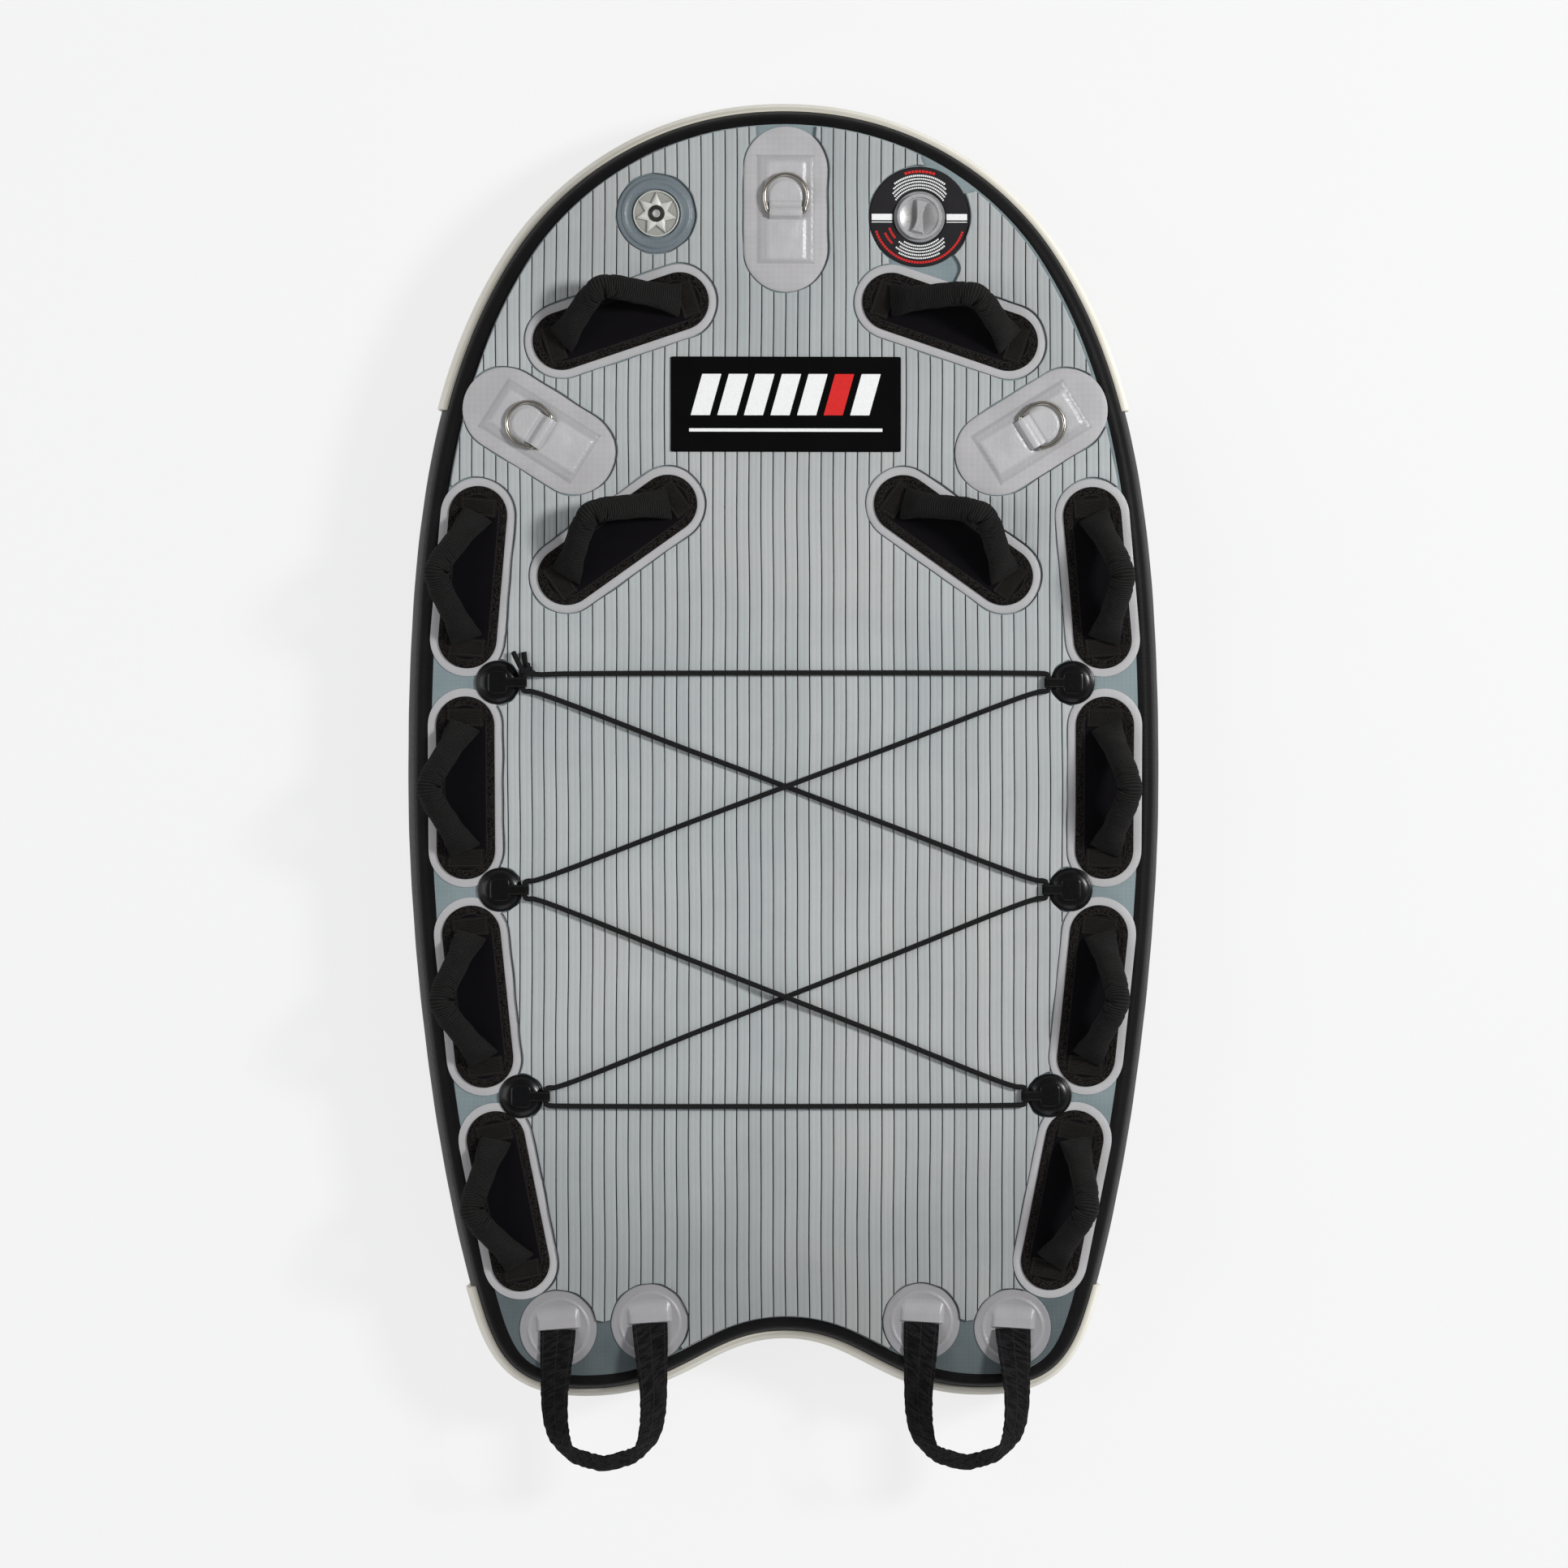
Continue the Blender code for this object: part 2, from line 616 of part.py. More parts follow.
def tow_patch():
    """A welded patch over a raised webbing block, with the band that keeps the ring's bar."""
    plate = loft([stadium(TOW_STRAIGHT, TOW_WIDTH, z) for z in (0, PATCH)])
    plate.transform(Matrix.Rotation(math.radians(90), 4, "Z"))
    sunk = PATCH / 2
    base = block(TOW_BLOCK_WIDTH, TOW_BLOCK_LENGTH, sunk, PATCH + TOW_BLOCK, TOW_BLOCK_SLOPE)
    band_top = PATCH + TOW_BLOCK + TOW_BAND
    band = block(KEEPER_WIDTH, TOW_BAND_LENGTH, sunk, band_top)
    axis = RING_AXIS - PATCH_BOTTOM
    bore = RING_WIRE + RUNNING_GAP
    crown = axis + bore + KEEPER_WALL
    shoulder = bore + KEEPER_WALL
    half = KEEPER_LENGTH / 2
    arch = [(-half, sunk), (-half, band_top + KEEPER_WALL), (-shoulder * 0.75, crown - KEEPER_WALL * 0.6)]
    arch.append((-shoulder * 0.35, crown))
    arch += [(-y, z) for y, z in reversed(arch)]
    side = KEEPER_WIDTH / 2
    keeper = loft([[(x, y - RING_SET_BACK, z) for y, z in arch] for x in (-side, side)])
    drill = [(x, -RING_SET_BACK, axis) for x in (-KEEPER_WIDTH, KEEPER_WIDTH)]
    return cut(union(plate, base, band, keeper), tube(drill, [bore, bore], SMALL_SIDES))


def tow_ring():
    """A welded wire ring with a straight bar, lying in the XY plane. It turns about X along its bar."""
    bar = RING_RADIUS - RING_CORNER
    shoulder = RING_REACH - RING_RADIUS
    half = [(0, 0), (bar, 0)]
    for angle in (45, 90):
        turn = math.radians(angle)
        half.append((bar + RING_CORNER * math.sin(turn), RING_CORNER * (1 - math.cos(turn))))
    for angle in range(0, 90, 22):
        turn = math.radians(angle)
        half.append((RING_RADIUS * math.cos(turn), shoulder + RING_RADIUS * math.sin(turn)))
    path = half + [(0, RING_REACH)] + [(-x, y) for x, y in half[:0:-1]]
    path = [(x, y, 0) for x, y in path]
    return tube(path, [RING_WIRE] * len(path), side_axis=(0, 0, 1), closed=True)


def ring_pivot(centre, turn):
    behind = Matrix.Rotation(math.radians(turn), 2) @ Vector((0, -RING_SET_BACK))
    return (centre[0] + behind.x, centre[1] + behind.y, RING_AXIS)


def add_tow_points(look):
    shared_patch, shared_ring = tow_patch(), tow_ring()
    for name, centre, turn in tow_patches():
        add(f"tow_patch_{name}", shared_patch, look["patch"], (*centre, PATCH_BOTTOM), turn)
        add(f"tow_ring_{name}", shared_ring, look["steel"], ring_pivot(centre, turn), turn)


def anchors():
    """Every cord anchor as (name, centre, turn). Its webbing eye points along its own +X, inboard."""
    places = []
    for row, y in zip(("front", "middle", "rear"), ANCHOR_Y):
        for side, sign in (("left", -1), ("right", 1)):
            centre, _ = beside_edge(y, ANCHOR_INSET, sign)
            places.append((f"{row}_{side}", centre, 0.0 if sign < 0 else 180.0))
    return places


def cord_anchor():
    """A domed disc on a smaller foot, with a raised hump and a webbing eye for the cord."""
    rim = PATCH_TOP + GAP - PATCH_BOTTOM
    crown = rim + ANCHOR_RIM + ANCHOR_DOME
    disc = turned([
        (ANCHOR_FOOT, 0),
        (ANCHOR_FOOT, rim),
        (ANCHOR_RADIUS, rim),
        (ANCHOR_RADIUS, rim + ANCHOR_RIM),
        (ANCHOR_RADIUS * 0.6, crown),
    ], DISC_SIDES)
    hump = block(ANCHOR_HUMP_LENGTH, ANCHOR_HUMP_WIDTH, rim, crown + ANCHOR_HUMP, ANCHOR_HUMP)
    axis = EYE_AXIS - PATCH_BOTTOM
    outer = EYE_RADIUS + EYE_WEBBING
    angles = [math.radians(angle) for angle in range(120, -121, -40)]
    eye = [(EYE_REACH + outer * math.cos(a), axis + outer * math.sin(a)) for a in angles]
    start = ANCHOR_HUMP_LENGTH * 0.3
    eye += [(start, crown - ANCHOR_DOME * 0.3), (start, crown + ANCHOR_HUMP * 0.7)]
    half = EYE_WIDTH / 2
    loop = loft([[(x, y, z) for x, z in eye] for y in (-half, half)])
    drill = [(EYE_REACH, y, axis) for y in (-EYE_WIDTH, EYE_WIDTH)]
    bore = tube(drill, [EYE_RADIUS, EYE_RADIUS], SMALL_SIDES, side_axis=(1, 0, 0))
    return cut(union(disc, hump, loop), bore)


def eye_centres():
    """The centre of each anchor's eye, and the side of the hull that it is on."""
    eyes = {}
    for name, (x, y), _ in anchors():
        side = -1 if x < 0 else 1
        eyes[name] = (x - side * EYE_REACH, y, side)
    return eyes


def through_eye(eye, down):
    """The cord's own points through one eye: in at one end, straight along Y, and out at the other."""
    x, y, side = eye
    travel = -1 if down else 1
    points = []
    for end in (-travel, travel):
        corner = [
            (x - side * CORD_BEND * 1.6, y + end * CORD_LEG_SPREAD, EYE_AXIS),
            (x - side * CORD_BEND * 0.55, y + end * (CORD_LEG_SPREAD - 0.0006), EYE_AXIS),
            (x - side * CORD_BEND * 0.14, y + end * (CORD_LEG_SPREAD - CORD_BEND * 0.22), EYE_AXIS),
            (x, y + end * (CORD_LEG_SPREAD - CORD_BEND * 0.55), EYE_AXIS),
        ]
        points += corner + [(x, y, EYE_AXIS)] if end == -travel else corner[::-1]
    return points


def crossing_run(start, end, lift):
    """Points between two eyes, with a rise or a dip where two runs cross halfway."""
    start, end = np.array(start), np.array(end)
    points = []
    for share, height in ((0.3, 0.0), (0.42, 0.4), (0.475, 1.0), (0.525, 1.0), (0.58, 0.4), (0.7, 0.0)):
        points.append(tuple(start + (end - start) * share + (0, 0, lift * height)))
    return points


def smooth_curve(points, steps=12):
    """Dense points on a smooth curve through every given point."""
    points = np.array(points)
    points = np.vstack([2 * points[0] - points[1], points, 2 * points[-1] - points[-2]])
    knots = np.concatenate([[0], np.cumsum(np.linalg.norm(np.diff(points, axis=0), axis=1) ** 0.5)])
    curve = []
    for i in range(1, len(points) - 2):
        a, b, c, d = points[i - 1:i + 3]
        ta, tb, tc, td = knots[i - 1:i + 3]
        for t in np.linspace(tb, tc, steps, endpoint=False):
            ab = (tb - t) / (tb - ta) * a + (t - ta) / (tb - ta) * b
            bc = (tc - t) / (tc - tb) * b + (t - tb) / (tc - tb) * c
            cd = (td - t) / (td - tc) * c + (t - tc) / (td - tc) * d
            abc = (tc - t) / (tc - ta) * ab + (t - ta) / (tc - ta) * bc
            bcd = (td - t) / (td - tb) * bc + (t - tb) / (td - tb) * cd
            curve.append((tc - t) / (tc - tb) * abc + (t - tb) / (tc - tb) * bcd)
    curve.append(points[-2])
    return np.array(curve)


def thinned(curve, tolerance):
    """The fewest of a curve's points that stay within the tolerance of all of them."""
    chord = curve[-1] - curve[0]
    length = np.linalg.norm(chord)
    if len(curve) < 3 or length == 0:
        return curve
    away = np.linalg.norm(np.cross(curve - curve[0], chord / length), axis=1)
    far = int(away.argmax())
    if away[far] < tolerance:
        return curve[[0, -1]]
    return np.vstack([thinned(curve[:far + 1], tolerance)[:-1], thinned(curve[far:], tolerance)])


def cord_route():
    """The lacing, from one tail through the knot and all six eyes, back to the knot and the other tail."""
    eyes = eye_centres()
    low = PAD_TOP + GAP + CORD_RADIUS - EYE_AXIS
    high = low + 2 * CORD_RADIUS + CORD_CROSSING_GAP
    x, y, _ = eyes["front_left"]
    knot = np.array((x + KNOT_REACH, y + CORD_LEG_SPREAD, PAD_TOP + GAP + KNOT_HEIGHT / 2))
    upper = KNOT_HEIGHT / 2 - CORD_RADIUS
    route = [
        tuple(knot + (-0.030, 0.026, 0)),
        tuple(knot + (-0.019, 0.016, upper)),
        tuple(knot + (-0.008, 0.006, upper)),
        tuple(knot + (0.004, 0.0012, upper)),
        tuple(knot + (0.018, 0, upper * 0.7)),
        tuple(knot + (0.050, 0, 0)),
    ]
    lacing = [
        ("front_right", True, None),
        ("middle_left", True, high),
        ("rear_right", True, high),
        ("rear_left", False, None),
        ("middle_right", False, low),
        ("front_left", False, low),
    ]
    for name, down, lift in lacing:
        points = through_eye(eyes[name], down)
        if lift is not None:
            route += crossing_run(route[-1], points[0], lift)
        route += points
    del route[-4:]
    route += [
        (x, y + EYE_WIDTH * 0.35, EYE_AXIS),
        (x, y + EYE_WIDTH * 0.62, EYE_AXIS),
        tuple(knot + (-0.0065, 0, -upper * 0.8)),
        tuple(knot + (-0.0005, 0.0045, -upper)),
        tuple(knot + (0, 0.014, -upper)),
        tuple(knot + (-0.004, 0.033, -upper)),
    ]
    return route, knot


def bungee_cord():
    """A tube along the lacing, with the knot's lump round both its ends."""
    route, knot = cord_route()
    path = thinned(smooth_curve(route), CORD_STEP)
    curve = bpy.data.curves.new("cord", "CURVE")
    curve.dimensions = "3D"
    curve.bevel_depth = CORD_RADIUS
    curve.bevel_resolution = 2
    curve.use_fill_caps = True
    spline = curve.splines.new("POLY")
    spline.points.add(len(path) - 1)
    for point, place in zip(spline.points, path):
        point.co = (*place, 1)
    helper = bpy.data.objects.new("helper", curve)
    bpy.context.collection.objects.link(helper)
    graph = bpy.context.evaluated_depsgraph_get()
    cord = bpy.data.meshes.new_from_object(helper.evaluated_get(graph))
    bpy.data.objects.remove(helper, do_unlink=True)
    half = KNOT_HEIGHT / 2
    lump = turned([
        (KNOT_RADIUS * 0.5, -half),
        (KNOT_RADIUS * 0.9, -half * 0.6),
        (KNOT_RADIUS, 0),
        (KNOT_RADIUS * 0.85, half * 0.6),
        (KNOT_RADIUS * 0.4, half * 1.05),
    ], SMALL_SIDES)
    lump.transform(Matrix.Translation(knot))
    return union(cord, lump)


def add_cord_deck(look):
    shared = cord_anchor()
    for name, centre, turn in anchors():
        add(f"cord_anchor_{name}", shared, look["gloss"], (*centre, PATCH_BOTTOM), turn)
    add("bungee_cord", bungee_cord(), look["cord"])


def strap_patches():
    """Every strap patch as (name, centre, turn). Both humps of a strap face its hinge line."""
    skew = math.degrees(math.atan2(INNER_STRAP[1] - OUTER_STRAP[1], OUTER_STRAP[0] - INNER_STRAP[0]))
    places = []
    for side, sign in (("left", -1), ("right", 1)):
        for part, (x, y) in (("outer", OUTER_STRAP), ("inner", INNER_STRAP)):
            places.append((f"{side}_{part}", (sign * x, y), -sign * skew))
    return places


def strap_patch():
    """A round welded patch with a hump over the webbing's sewn end. The webbing leaves at Y = 0."""
    disc = prism(circle(STRAP_PATCH_RADIUS, DISC_SIDES), 0, PATCH)
    width = STRAP_WIDTH + 2 * STRAP
    slope = STRAP_HUMP * 0.7
    low, high = PATCH / 2, PATCH + STRAP_HUMP
    rings = []
    for z, inset in ((low, 0), (high, slope)):
        x, y = width / 2 - inset, STRAP_HUMP_LENGTH - inset
        rings.append([(-x, 0, z), (x, 0, z), (x, y, z), (-x, y, z)])
    return union(disc, loft(rings))


def strap_centre_line(steps):
    """Points from one mouth round the loop to the other, and how far each is on its way to the loop's end."""
    share = np.linspace(-1, 1, steps)
    travel = 1 - np.abs(share)
    bend = np.clip((travel - STRAP_LEG_SHARE) / (1 - STRAP_LEG_SHARE), 0, 1) * math.pi / 2
    leg = np.clip(travel / STRAP_LEG_SHARE, 0, 1)
    half = (OUTER_STRAP[0] - INNER_STRAP[0]) / 2
    slant = (INNER_STRAP[1] - OUTER_STRAP[1]) / 2
    x = np.sign(share) * (half + STRAP_SPLAY * leg) * np.cos(bend) ** STRAP_SQUARENESS
    curve = STRAP_REACH - STRAP_LEG
    y = -STRAP_LEG * leg - curve * np.sin(bend) ** STRAP_SQUARENESS + np.sign(share) * slant * (1 - leg)
    z = 4 * STRAP_RISE * travel * (1 - travel) - STRAP_DROP * travel ** 3 - STRAP / 2
    return np.column_stack([x, y, z]), travel


def tail_strap(side):
    """Doubled webbing from one mouth to the other. It tilts more and more towards the loop's end.

    Its origin is halfway between the mouths, on the hinge line, which its upper face meets.
    """
    centre, travel = strap_centre_line(21)
    forward = np.gradient(centre, axis=0)
    forward /= np.linalg.norm(forward, axis=1)[:, None]
    outward = np.column_stack([forward[:, 1], -forward[:, 0], np.zeros(len(centre))])
    mouths = np.array((centre[-1] - centre[0]))
    mouths[2] = 0
    outward[0], outward[-1] = -mouths, mouths
    outward /= np.linalg.norm(outward, axis=1)[:, None]
    tilt = math.radians(STRAP_END_TILT) * np.sin(travel * math.pi / 2)[:, None] ** STRAP_TWIST
    across = outward * np.cos(tilt) - (0, 0, 1) * np.sin(tilt)
    normal = np.cross(across, forward)
    normal /= np.linalg.norm(normal, axis=1)[:, None]
    normal[[0, -1]] = (0, 0, 1)
    centre[[0, -1], 1] -= GAP
    wide, thick = across * STRAP_WIDTH / 2, normal * STRAP / 2
    below, above = centre - thick, centre + thick
    rings = np.stack([below - wide, below + wide, above + wide, above - wide], 1)
    rings[:, :, 0] *= -side
    return loft(rings)


def add_tail_straps(look):
    shared = strap_patch()
    for name, centre, turn in strap_patches():
        add(f"strap_patch_{name}", shared, look["patch"], (*centre, PATCH_BOTTOM), turn)
    x, y = (OUTER_STRAP[0] + INNER_STRAP[0]) / 2, (OUTER_STRAP[1] + INNER_STRAP[1]) / 2
    add("tail_strap_left", tail_strap(-1), look["webbing"], (-x, y, STRAP_AXIS))
    add("tail_strap_right", tail_strap(1), look["webbing"], (x, y, STRAP_AXIS))


def add_relief_valve(look):
    """A welded boot round a moulded body, whose button lets air out when it is pressed."""
    place = (RELIEF_X, RELIEF_Y, PATCH_BOTTOM)
    hole = RELIEF_FLANGE_RADIUS + GAP
    crest = RELIEF_RIDGE_RADIUS - RELIEF_RIDGE_WIDTH / 2
    boot = turned([
        (RELIEF_BOOT_RADIUS, 0),
        (RELIEF_BOOT_RADIUS, PATCH),
        (RELIEF_RIDGE_RADIUS, PATCH),
        (crest, PATCH + RELIEF_RIDGE),
        (hole - GAP, PATCH + RELIEF_RIDGE / 2),
    ], DISC_SIDES)
    boot = cut(boot, prism(circle(hole, DISC_SIDES), -PATCH, 3 * PATCH + RELIEF_RIDGE))
    add("relief_valve_boot", boot, look["skin"], place)

    top = RELIEF_FLANGE
    body = turned([
        (BARREL_RADIUS, -BARREL_LENGTH),
        (BARREL_RADIUS, 0),
        (RELIEF_FLANGE_RADIUS, 0),
        (RELIEF_FLANGE_RADIUS, top * 0.7),
        (RELIEF_FLANGE_RADIUS - top * 0.3, top),
    ], DISC_SIDES)
    inner, outer = RELIEF_WELL_RADIUS * 1.35, RELIEF_FLANGE_RADIUS * 0.93
    star = []
    for i in range(2 * RELIEF_STAR_POINTS):
        angle = math.pi * i / RELIEF_STAR_POINTS + math.pi / 2
        reach = outer if i % 2 == 0 else inner
        star.append((reach * math.cos(angle), reach * math.sin(angle)))
    body = union(body, prism(star, top / 2, top + RELIEF_STAR))
    well = prism(circle(RELIEF_WELL_RADIUS, SMALL_SIDES), top - RELIEF_WELL, top + 2 * RELIEF_STAR)
    bore = prism(circle(STEM_RADIUS + RUNNING_GAP, SMALL_SIDES), -2 * BARREL_LENGTH, top)
    add("relief_valve_body", cut(body, well, bore), look["valve"], place)

    floor = top - RELIEF_WELL
    stem = turned([
        (STEM_RADIUS, -BARREL_LENGTH - RELIEF_TRAVEL),
        (STEM_RADIUS, floor + RELIEF_TRAVEL + GAP),
        (RELIEF_BUTTON_RADIUS, floor + RELIEF_TRAVEL + GAP),
        (RELIEF_BUTTON_RADIUS, top + RELIEF_STAR),
    ], SMALL_SIDES)
    add("relief_valve_stem", stem, look["stem"], place)


def cap_grip():
    """The raised grip on the cap: a bar with a drawn-in waist."""
    half_length, half_width, waist = CAP_GRIP_LENGTH / 2, CAP_GRIP_WIDTH / 2, CAP_GRIP_WAIST / 2
    side = []
    for share in np.linspace(-1, 1, 7):
        side.append((half_length * share * 0.92, waist + (half_width - waist) * share * share))
    outline = side + [(half_length, 0)] + [(x, -y) for x, y in reversed(side)] + [(-half_length, 0)]
    return prism(outline, CAP / 2, CAP + CAP_GRIP)


def add_inflation_valve(look):
    """A printed disc round a moulded body with a sprung stem, closed by a quarter-turn cap."""
    place = (INFLATION_X, INFLATION_Y, PATCH_BOTTOM)
    hole = prism(circle(INFLATION_FLANGE_RADIUS + GAP, DISC_SIDES), -PATCH, 2 * PATCH)
    disc = cut(prism(circle(LABEL_RADIUS, DISC_SIDES + 8), 0, PATCH), hole)
    add("inflation_valve_disc", disc, look["label"], place)

    body = turned([
        (BARREL_RADIUS, -BARREL_LENGTH),
        (BARREL_RADIUS, 0),
        (INFLATION_FLANGE_RADIUS, 0),
        (INFLATION_FLANGE_RADIUS, INFLATION_FLANGE),
    ], DISC_SIDES)
    socket = prism(circle(SOCKET_RADIUS, SMALL_SIDES), INFLATION_FLANGE - SOCKET, 2 * INFLATION_FLANGE)
    bore = prism(circle(INFLATION_STEM_RADIUS + RUNNING_GAP, SMALL_SIDES), -2 * BARREL_LENGTH, 0)
    add("inflation_valve_body", cut(body, socket, bore), look["valve"], place)

    seat = INFLATION_FLANGE + GAP
    plug_end = -CAP_PLUG
    cap = turned([
        (SOCKET_RADIUS - RUNNING_GAP - GAP, plug_end),
        (SOCKET_RADIUS - RUNNING_GAP - GAP, 0),
        (CAP_RADIUS, 0),
        (CAP_RADIUS, CAP * 0.7),
        (CAP_RADIUS - CAP * 0.3, CAP),
    ], DISC_SIDES)
    spot = (INFLATION_X, INFLATION_Y, PATCH_BOTTOM + seat)
    add("inflation_valve_cap", union(cap, cap_grip()), look["cap"], spot, CAP_TURN)

    top = seat + plug_end - GAP
    stem = turned([
        (INFLATION_STEM_RADIUS, -BARREL_LENGTH - INFLATION_TRAVEL / 2),
        (INFLATION_STEM_RADIUS, top - INFLATION_HEAD),
        (INFLATION_HEAD_RADIUS, top - INFLATION_HEAD),
        (INFLATION_HEAD_RADIUS, top),
    ], SMALL_SIDES)
    add("inflation_valve_stem", stem, look["stem"], place)


def pad_outline():
    """Full width at the nose, inside the side handles and anchors, and round the strap patches."""
    inset = deck_outline(PAD_EDGE)
    half = len(inset) // 2
    right = inset[:half + 1]
    side_handles = [place for place in handles() if place[0].startswith("right_")]
    first = side_handles[0]
    start_y = first[1][1] + HANDLE_STRAIGHT / 2 + HANDLE_PATCH_WIDTH * 0.4
    edge = [tuple(point) for point in right if point[1] > start_y]
    edge_x = float(np.interp(-start_y, -right[:, 1][:half - 6], right[:, 0][:half - 6]))
    edge.append((edge_x, start_y))
    right_anchors = [place for place in anchors() if place[0].endswith("_right")]
    for i, (_, (x, y), turn, _, _) in enumerate(side_handles):
        along = np.array((math.cos(math.radians(turn)), math.sin(math.radians(turn)))) * HANDLE_STRAIGHT / 2
        edge += [(x - along[0], y - along[1]), (x + along[0], y + along[1])]
        if i < len(right_anchors):
            ax, ay = right_anchors[i][1]
            edge.append((ax - ANCHOR_RADIUS * 0.3, ay))
    between = np.mean([OUTER_STRAP, INNER_STRAP], axis=0)
    edge += [OUTER_STRAP, tuple(between - (0, STRAP_VALLEY)), INNER_STRAP]
    end_x = INNER_STRAP[0] - STRAP_PATCH_RADIUS * 0.75
    edge += [tuple(point) for point in right[half - 10:] if point[0] < end_x]
    left = [(-x, y) for x, y in edge[-2:0:-1]]
    return edge + left


def add_deck_pad(look):
    """Grooved foam let in round every patch, and the plain panel glued on it."""
    low, high = PAD_BOTTOM - DECK_PAD, PAD_TOP + DECK_PAD
    grown = 2 * PAD_GAP
    handle_hole = prism(stadium(HANDLE_STRAIGHT, HANDLE_PATCH_WIDTH + grown), low, high)
    cutters = [moved(handle_hole, (x, y, 0), turn) for _, (x, y), turn, _, _ in handles()]
    tow_hole = prism(stadium(TOW_STRAIGHT, TOW_WIDTH + grown), low, high)
    cutters += [moved(tow_hole, (*centre, 0), turn + 90) for _, centre, turn in tow_patches()]
    nose_cut = block(NOSE_CUT_WIDTH, NOSE_Y - NOSE_TOW_Y, low, high)
    cutters.append(moved(nose_cut, (0, (NOSE_Y + NOSE_TOW_Y) / 2, 0)))
    anchor_hole = prism(circle(ANCHOR_RADIUS + PAD_GAP, DISC_SIDES), low, high)
    cutters += [moved(anchor_hole, (*centre, 0)) for _, centre, _ in anchors()]
    strap_hole = prism(circle(STRAP_PATCH_RADIUS + PAD_GAP, DISC_SIDES), low, high)
    cutters += [moved(strap_hole, (*centre, 0)) for _, centre, _ in strap_patches()]
    relief_hole = prism(circle(RELIEF_BOOT_RADIUS + PAD_GAP, DISC_SIDES), low, high)
    cutters.append(moved(relief_hole, (RELIEF_X, RELIEF_Y, 0)))
    label_hole = prism(circle(LABEL_RADIUS + PAD_GAP, DISC_SIDES + 8), low, high)
    cutters.append(moved(label_hole, (INFLATION_X, INFLATION_Y, 0)))
    add("deck_pad", cut(prism(pad_outline(), PAD_BOTTOM, PAD_TOP), *cutters), look["pad"])

    panel_bottom = PAD_TOP + GAP
    panel = block(NAME_PANEL_LENGTH, NAME_PANEL_WIDTH, panel_bottom, panel_bottom + NAME_PANEL)
    add("name_panel", panel, look["panel"], (0, NAME_PANEL_Y, 0))


def looks():
    return {
        "threads": material("polyester_threads", (0.80, 0.80, 0.78), 0.90),
        "skin": material("pvc_skin_blue_grey", (0.24, 0.29, 0.31), 0.45),
        "wall": material("pvc_wall_black", (0.022, 0.022, 0.022), 0.50),
        "tape": material("seam_tape_black", (0.012, 0.012, 0.012), 0.45),
        "strake": material("rubber_strake_cream", (0.72, 0.69, 0.61), 0.55),
        "pad": material("foam_pad_grey", (0.38, 0.41, 0.41), 0.80),
        "panel": material("panel_black", (0.005, 0.005, 0.005), 0.60),
        "patch": material("pvc_patch_grey", (0.42, 0.40, 0.42), 0.40),
        "knuckle": material("knuckle_pad_black", (0.007, 0.006, 0.007), 0.90),
        "webbing": material("webbing_black", (0.009, 0.008, 0.008), 0.85),
        "steel": material("stainless_steel", (0.62, 0.60, 0.57), 0.18, 1.0),
        "gloss": material("moulded_anchor_black", (0.008, 0.008, 0.008), 0.20),
        "cord": material("bungee_black", (0.008, 0.008, 0.008), 0.70),
        "valve": material("valve_plastic_grey", (0.38, 0.38, 0.35), 0.45),
        "stem": material("valve_stem_grey", (0.45, 0.45, 0.45), 0.40),
        "cap": material("valve_cap_silver", (0.42, 0.42, 0.42), 0.35),
        "label": material("label_disc_black", (0.010, 0.010, 0.010), 0.35),
    }


def build():
    clear_scene()
    look = looks()
    add_hull(look)
    add_strakes(look)
    add_deck_pad(look)
    add_handles(look)
    add_tow_points(look)
    add_cord_deck(look)
    add_tail_straps(look)
    add_relief_valve(look)
    add_inflation_valve(look)


build()
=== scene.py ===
"""An inflatable rescue sled on a pale studio floor, seen from straight above.

Metres. +X is to the right of a person lying on the deck, +Y points to the nose and +Z up.
"""

import math

import bmesh
import bpy
import numpy as np
from mathutils import Matrix, Vector


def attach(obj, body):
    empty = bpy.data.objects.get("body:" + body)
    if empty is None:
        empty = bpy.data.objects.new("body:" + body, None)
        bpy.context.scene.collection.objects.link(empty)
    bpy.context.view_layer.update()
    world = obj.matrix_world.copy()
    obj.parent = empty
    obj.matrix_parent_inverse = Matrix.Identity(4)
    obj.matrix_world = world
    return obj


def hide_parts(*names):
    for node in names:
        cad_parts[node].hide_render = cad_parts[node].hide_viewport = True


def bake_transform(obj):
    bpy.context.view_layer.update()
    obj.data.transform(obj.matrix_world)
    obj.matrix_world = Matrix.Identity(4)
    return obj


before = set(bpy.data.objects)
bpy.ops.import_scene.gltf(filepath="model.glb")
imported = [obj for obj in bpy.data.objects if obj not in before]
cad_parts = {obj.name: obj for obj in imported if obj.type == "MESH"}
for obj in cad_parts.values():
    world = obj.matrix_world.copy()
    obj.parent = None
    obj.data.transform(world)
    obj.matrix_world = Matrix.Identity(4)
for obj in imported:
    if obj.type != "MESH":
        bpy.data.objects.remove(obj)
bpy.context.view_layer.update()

# Studio. The camera looks down from eight metres, a little to the left of the sled's middle. A large soft lamp
# stands at the front right, a wider and weaker one at the left and a faint one behind the tail. A pale floor turns
# up into a far round wall, and lies a hair under the seam tape that the sled rests on.
DECK = 0.150
DECK_IN_PICTURE = 2.1252        # width of the deck's level across the whole picture
CAMERA_HEIGHT = 8.0
CAMERA_SIDE = -0.25


def placed(name, data):
    """A new object in the scene."""
    obj = bpy.data.objects.new(name, data)
    bpy.context.scene.collection.objects.link(obj)
    return obj


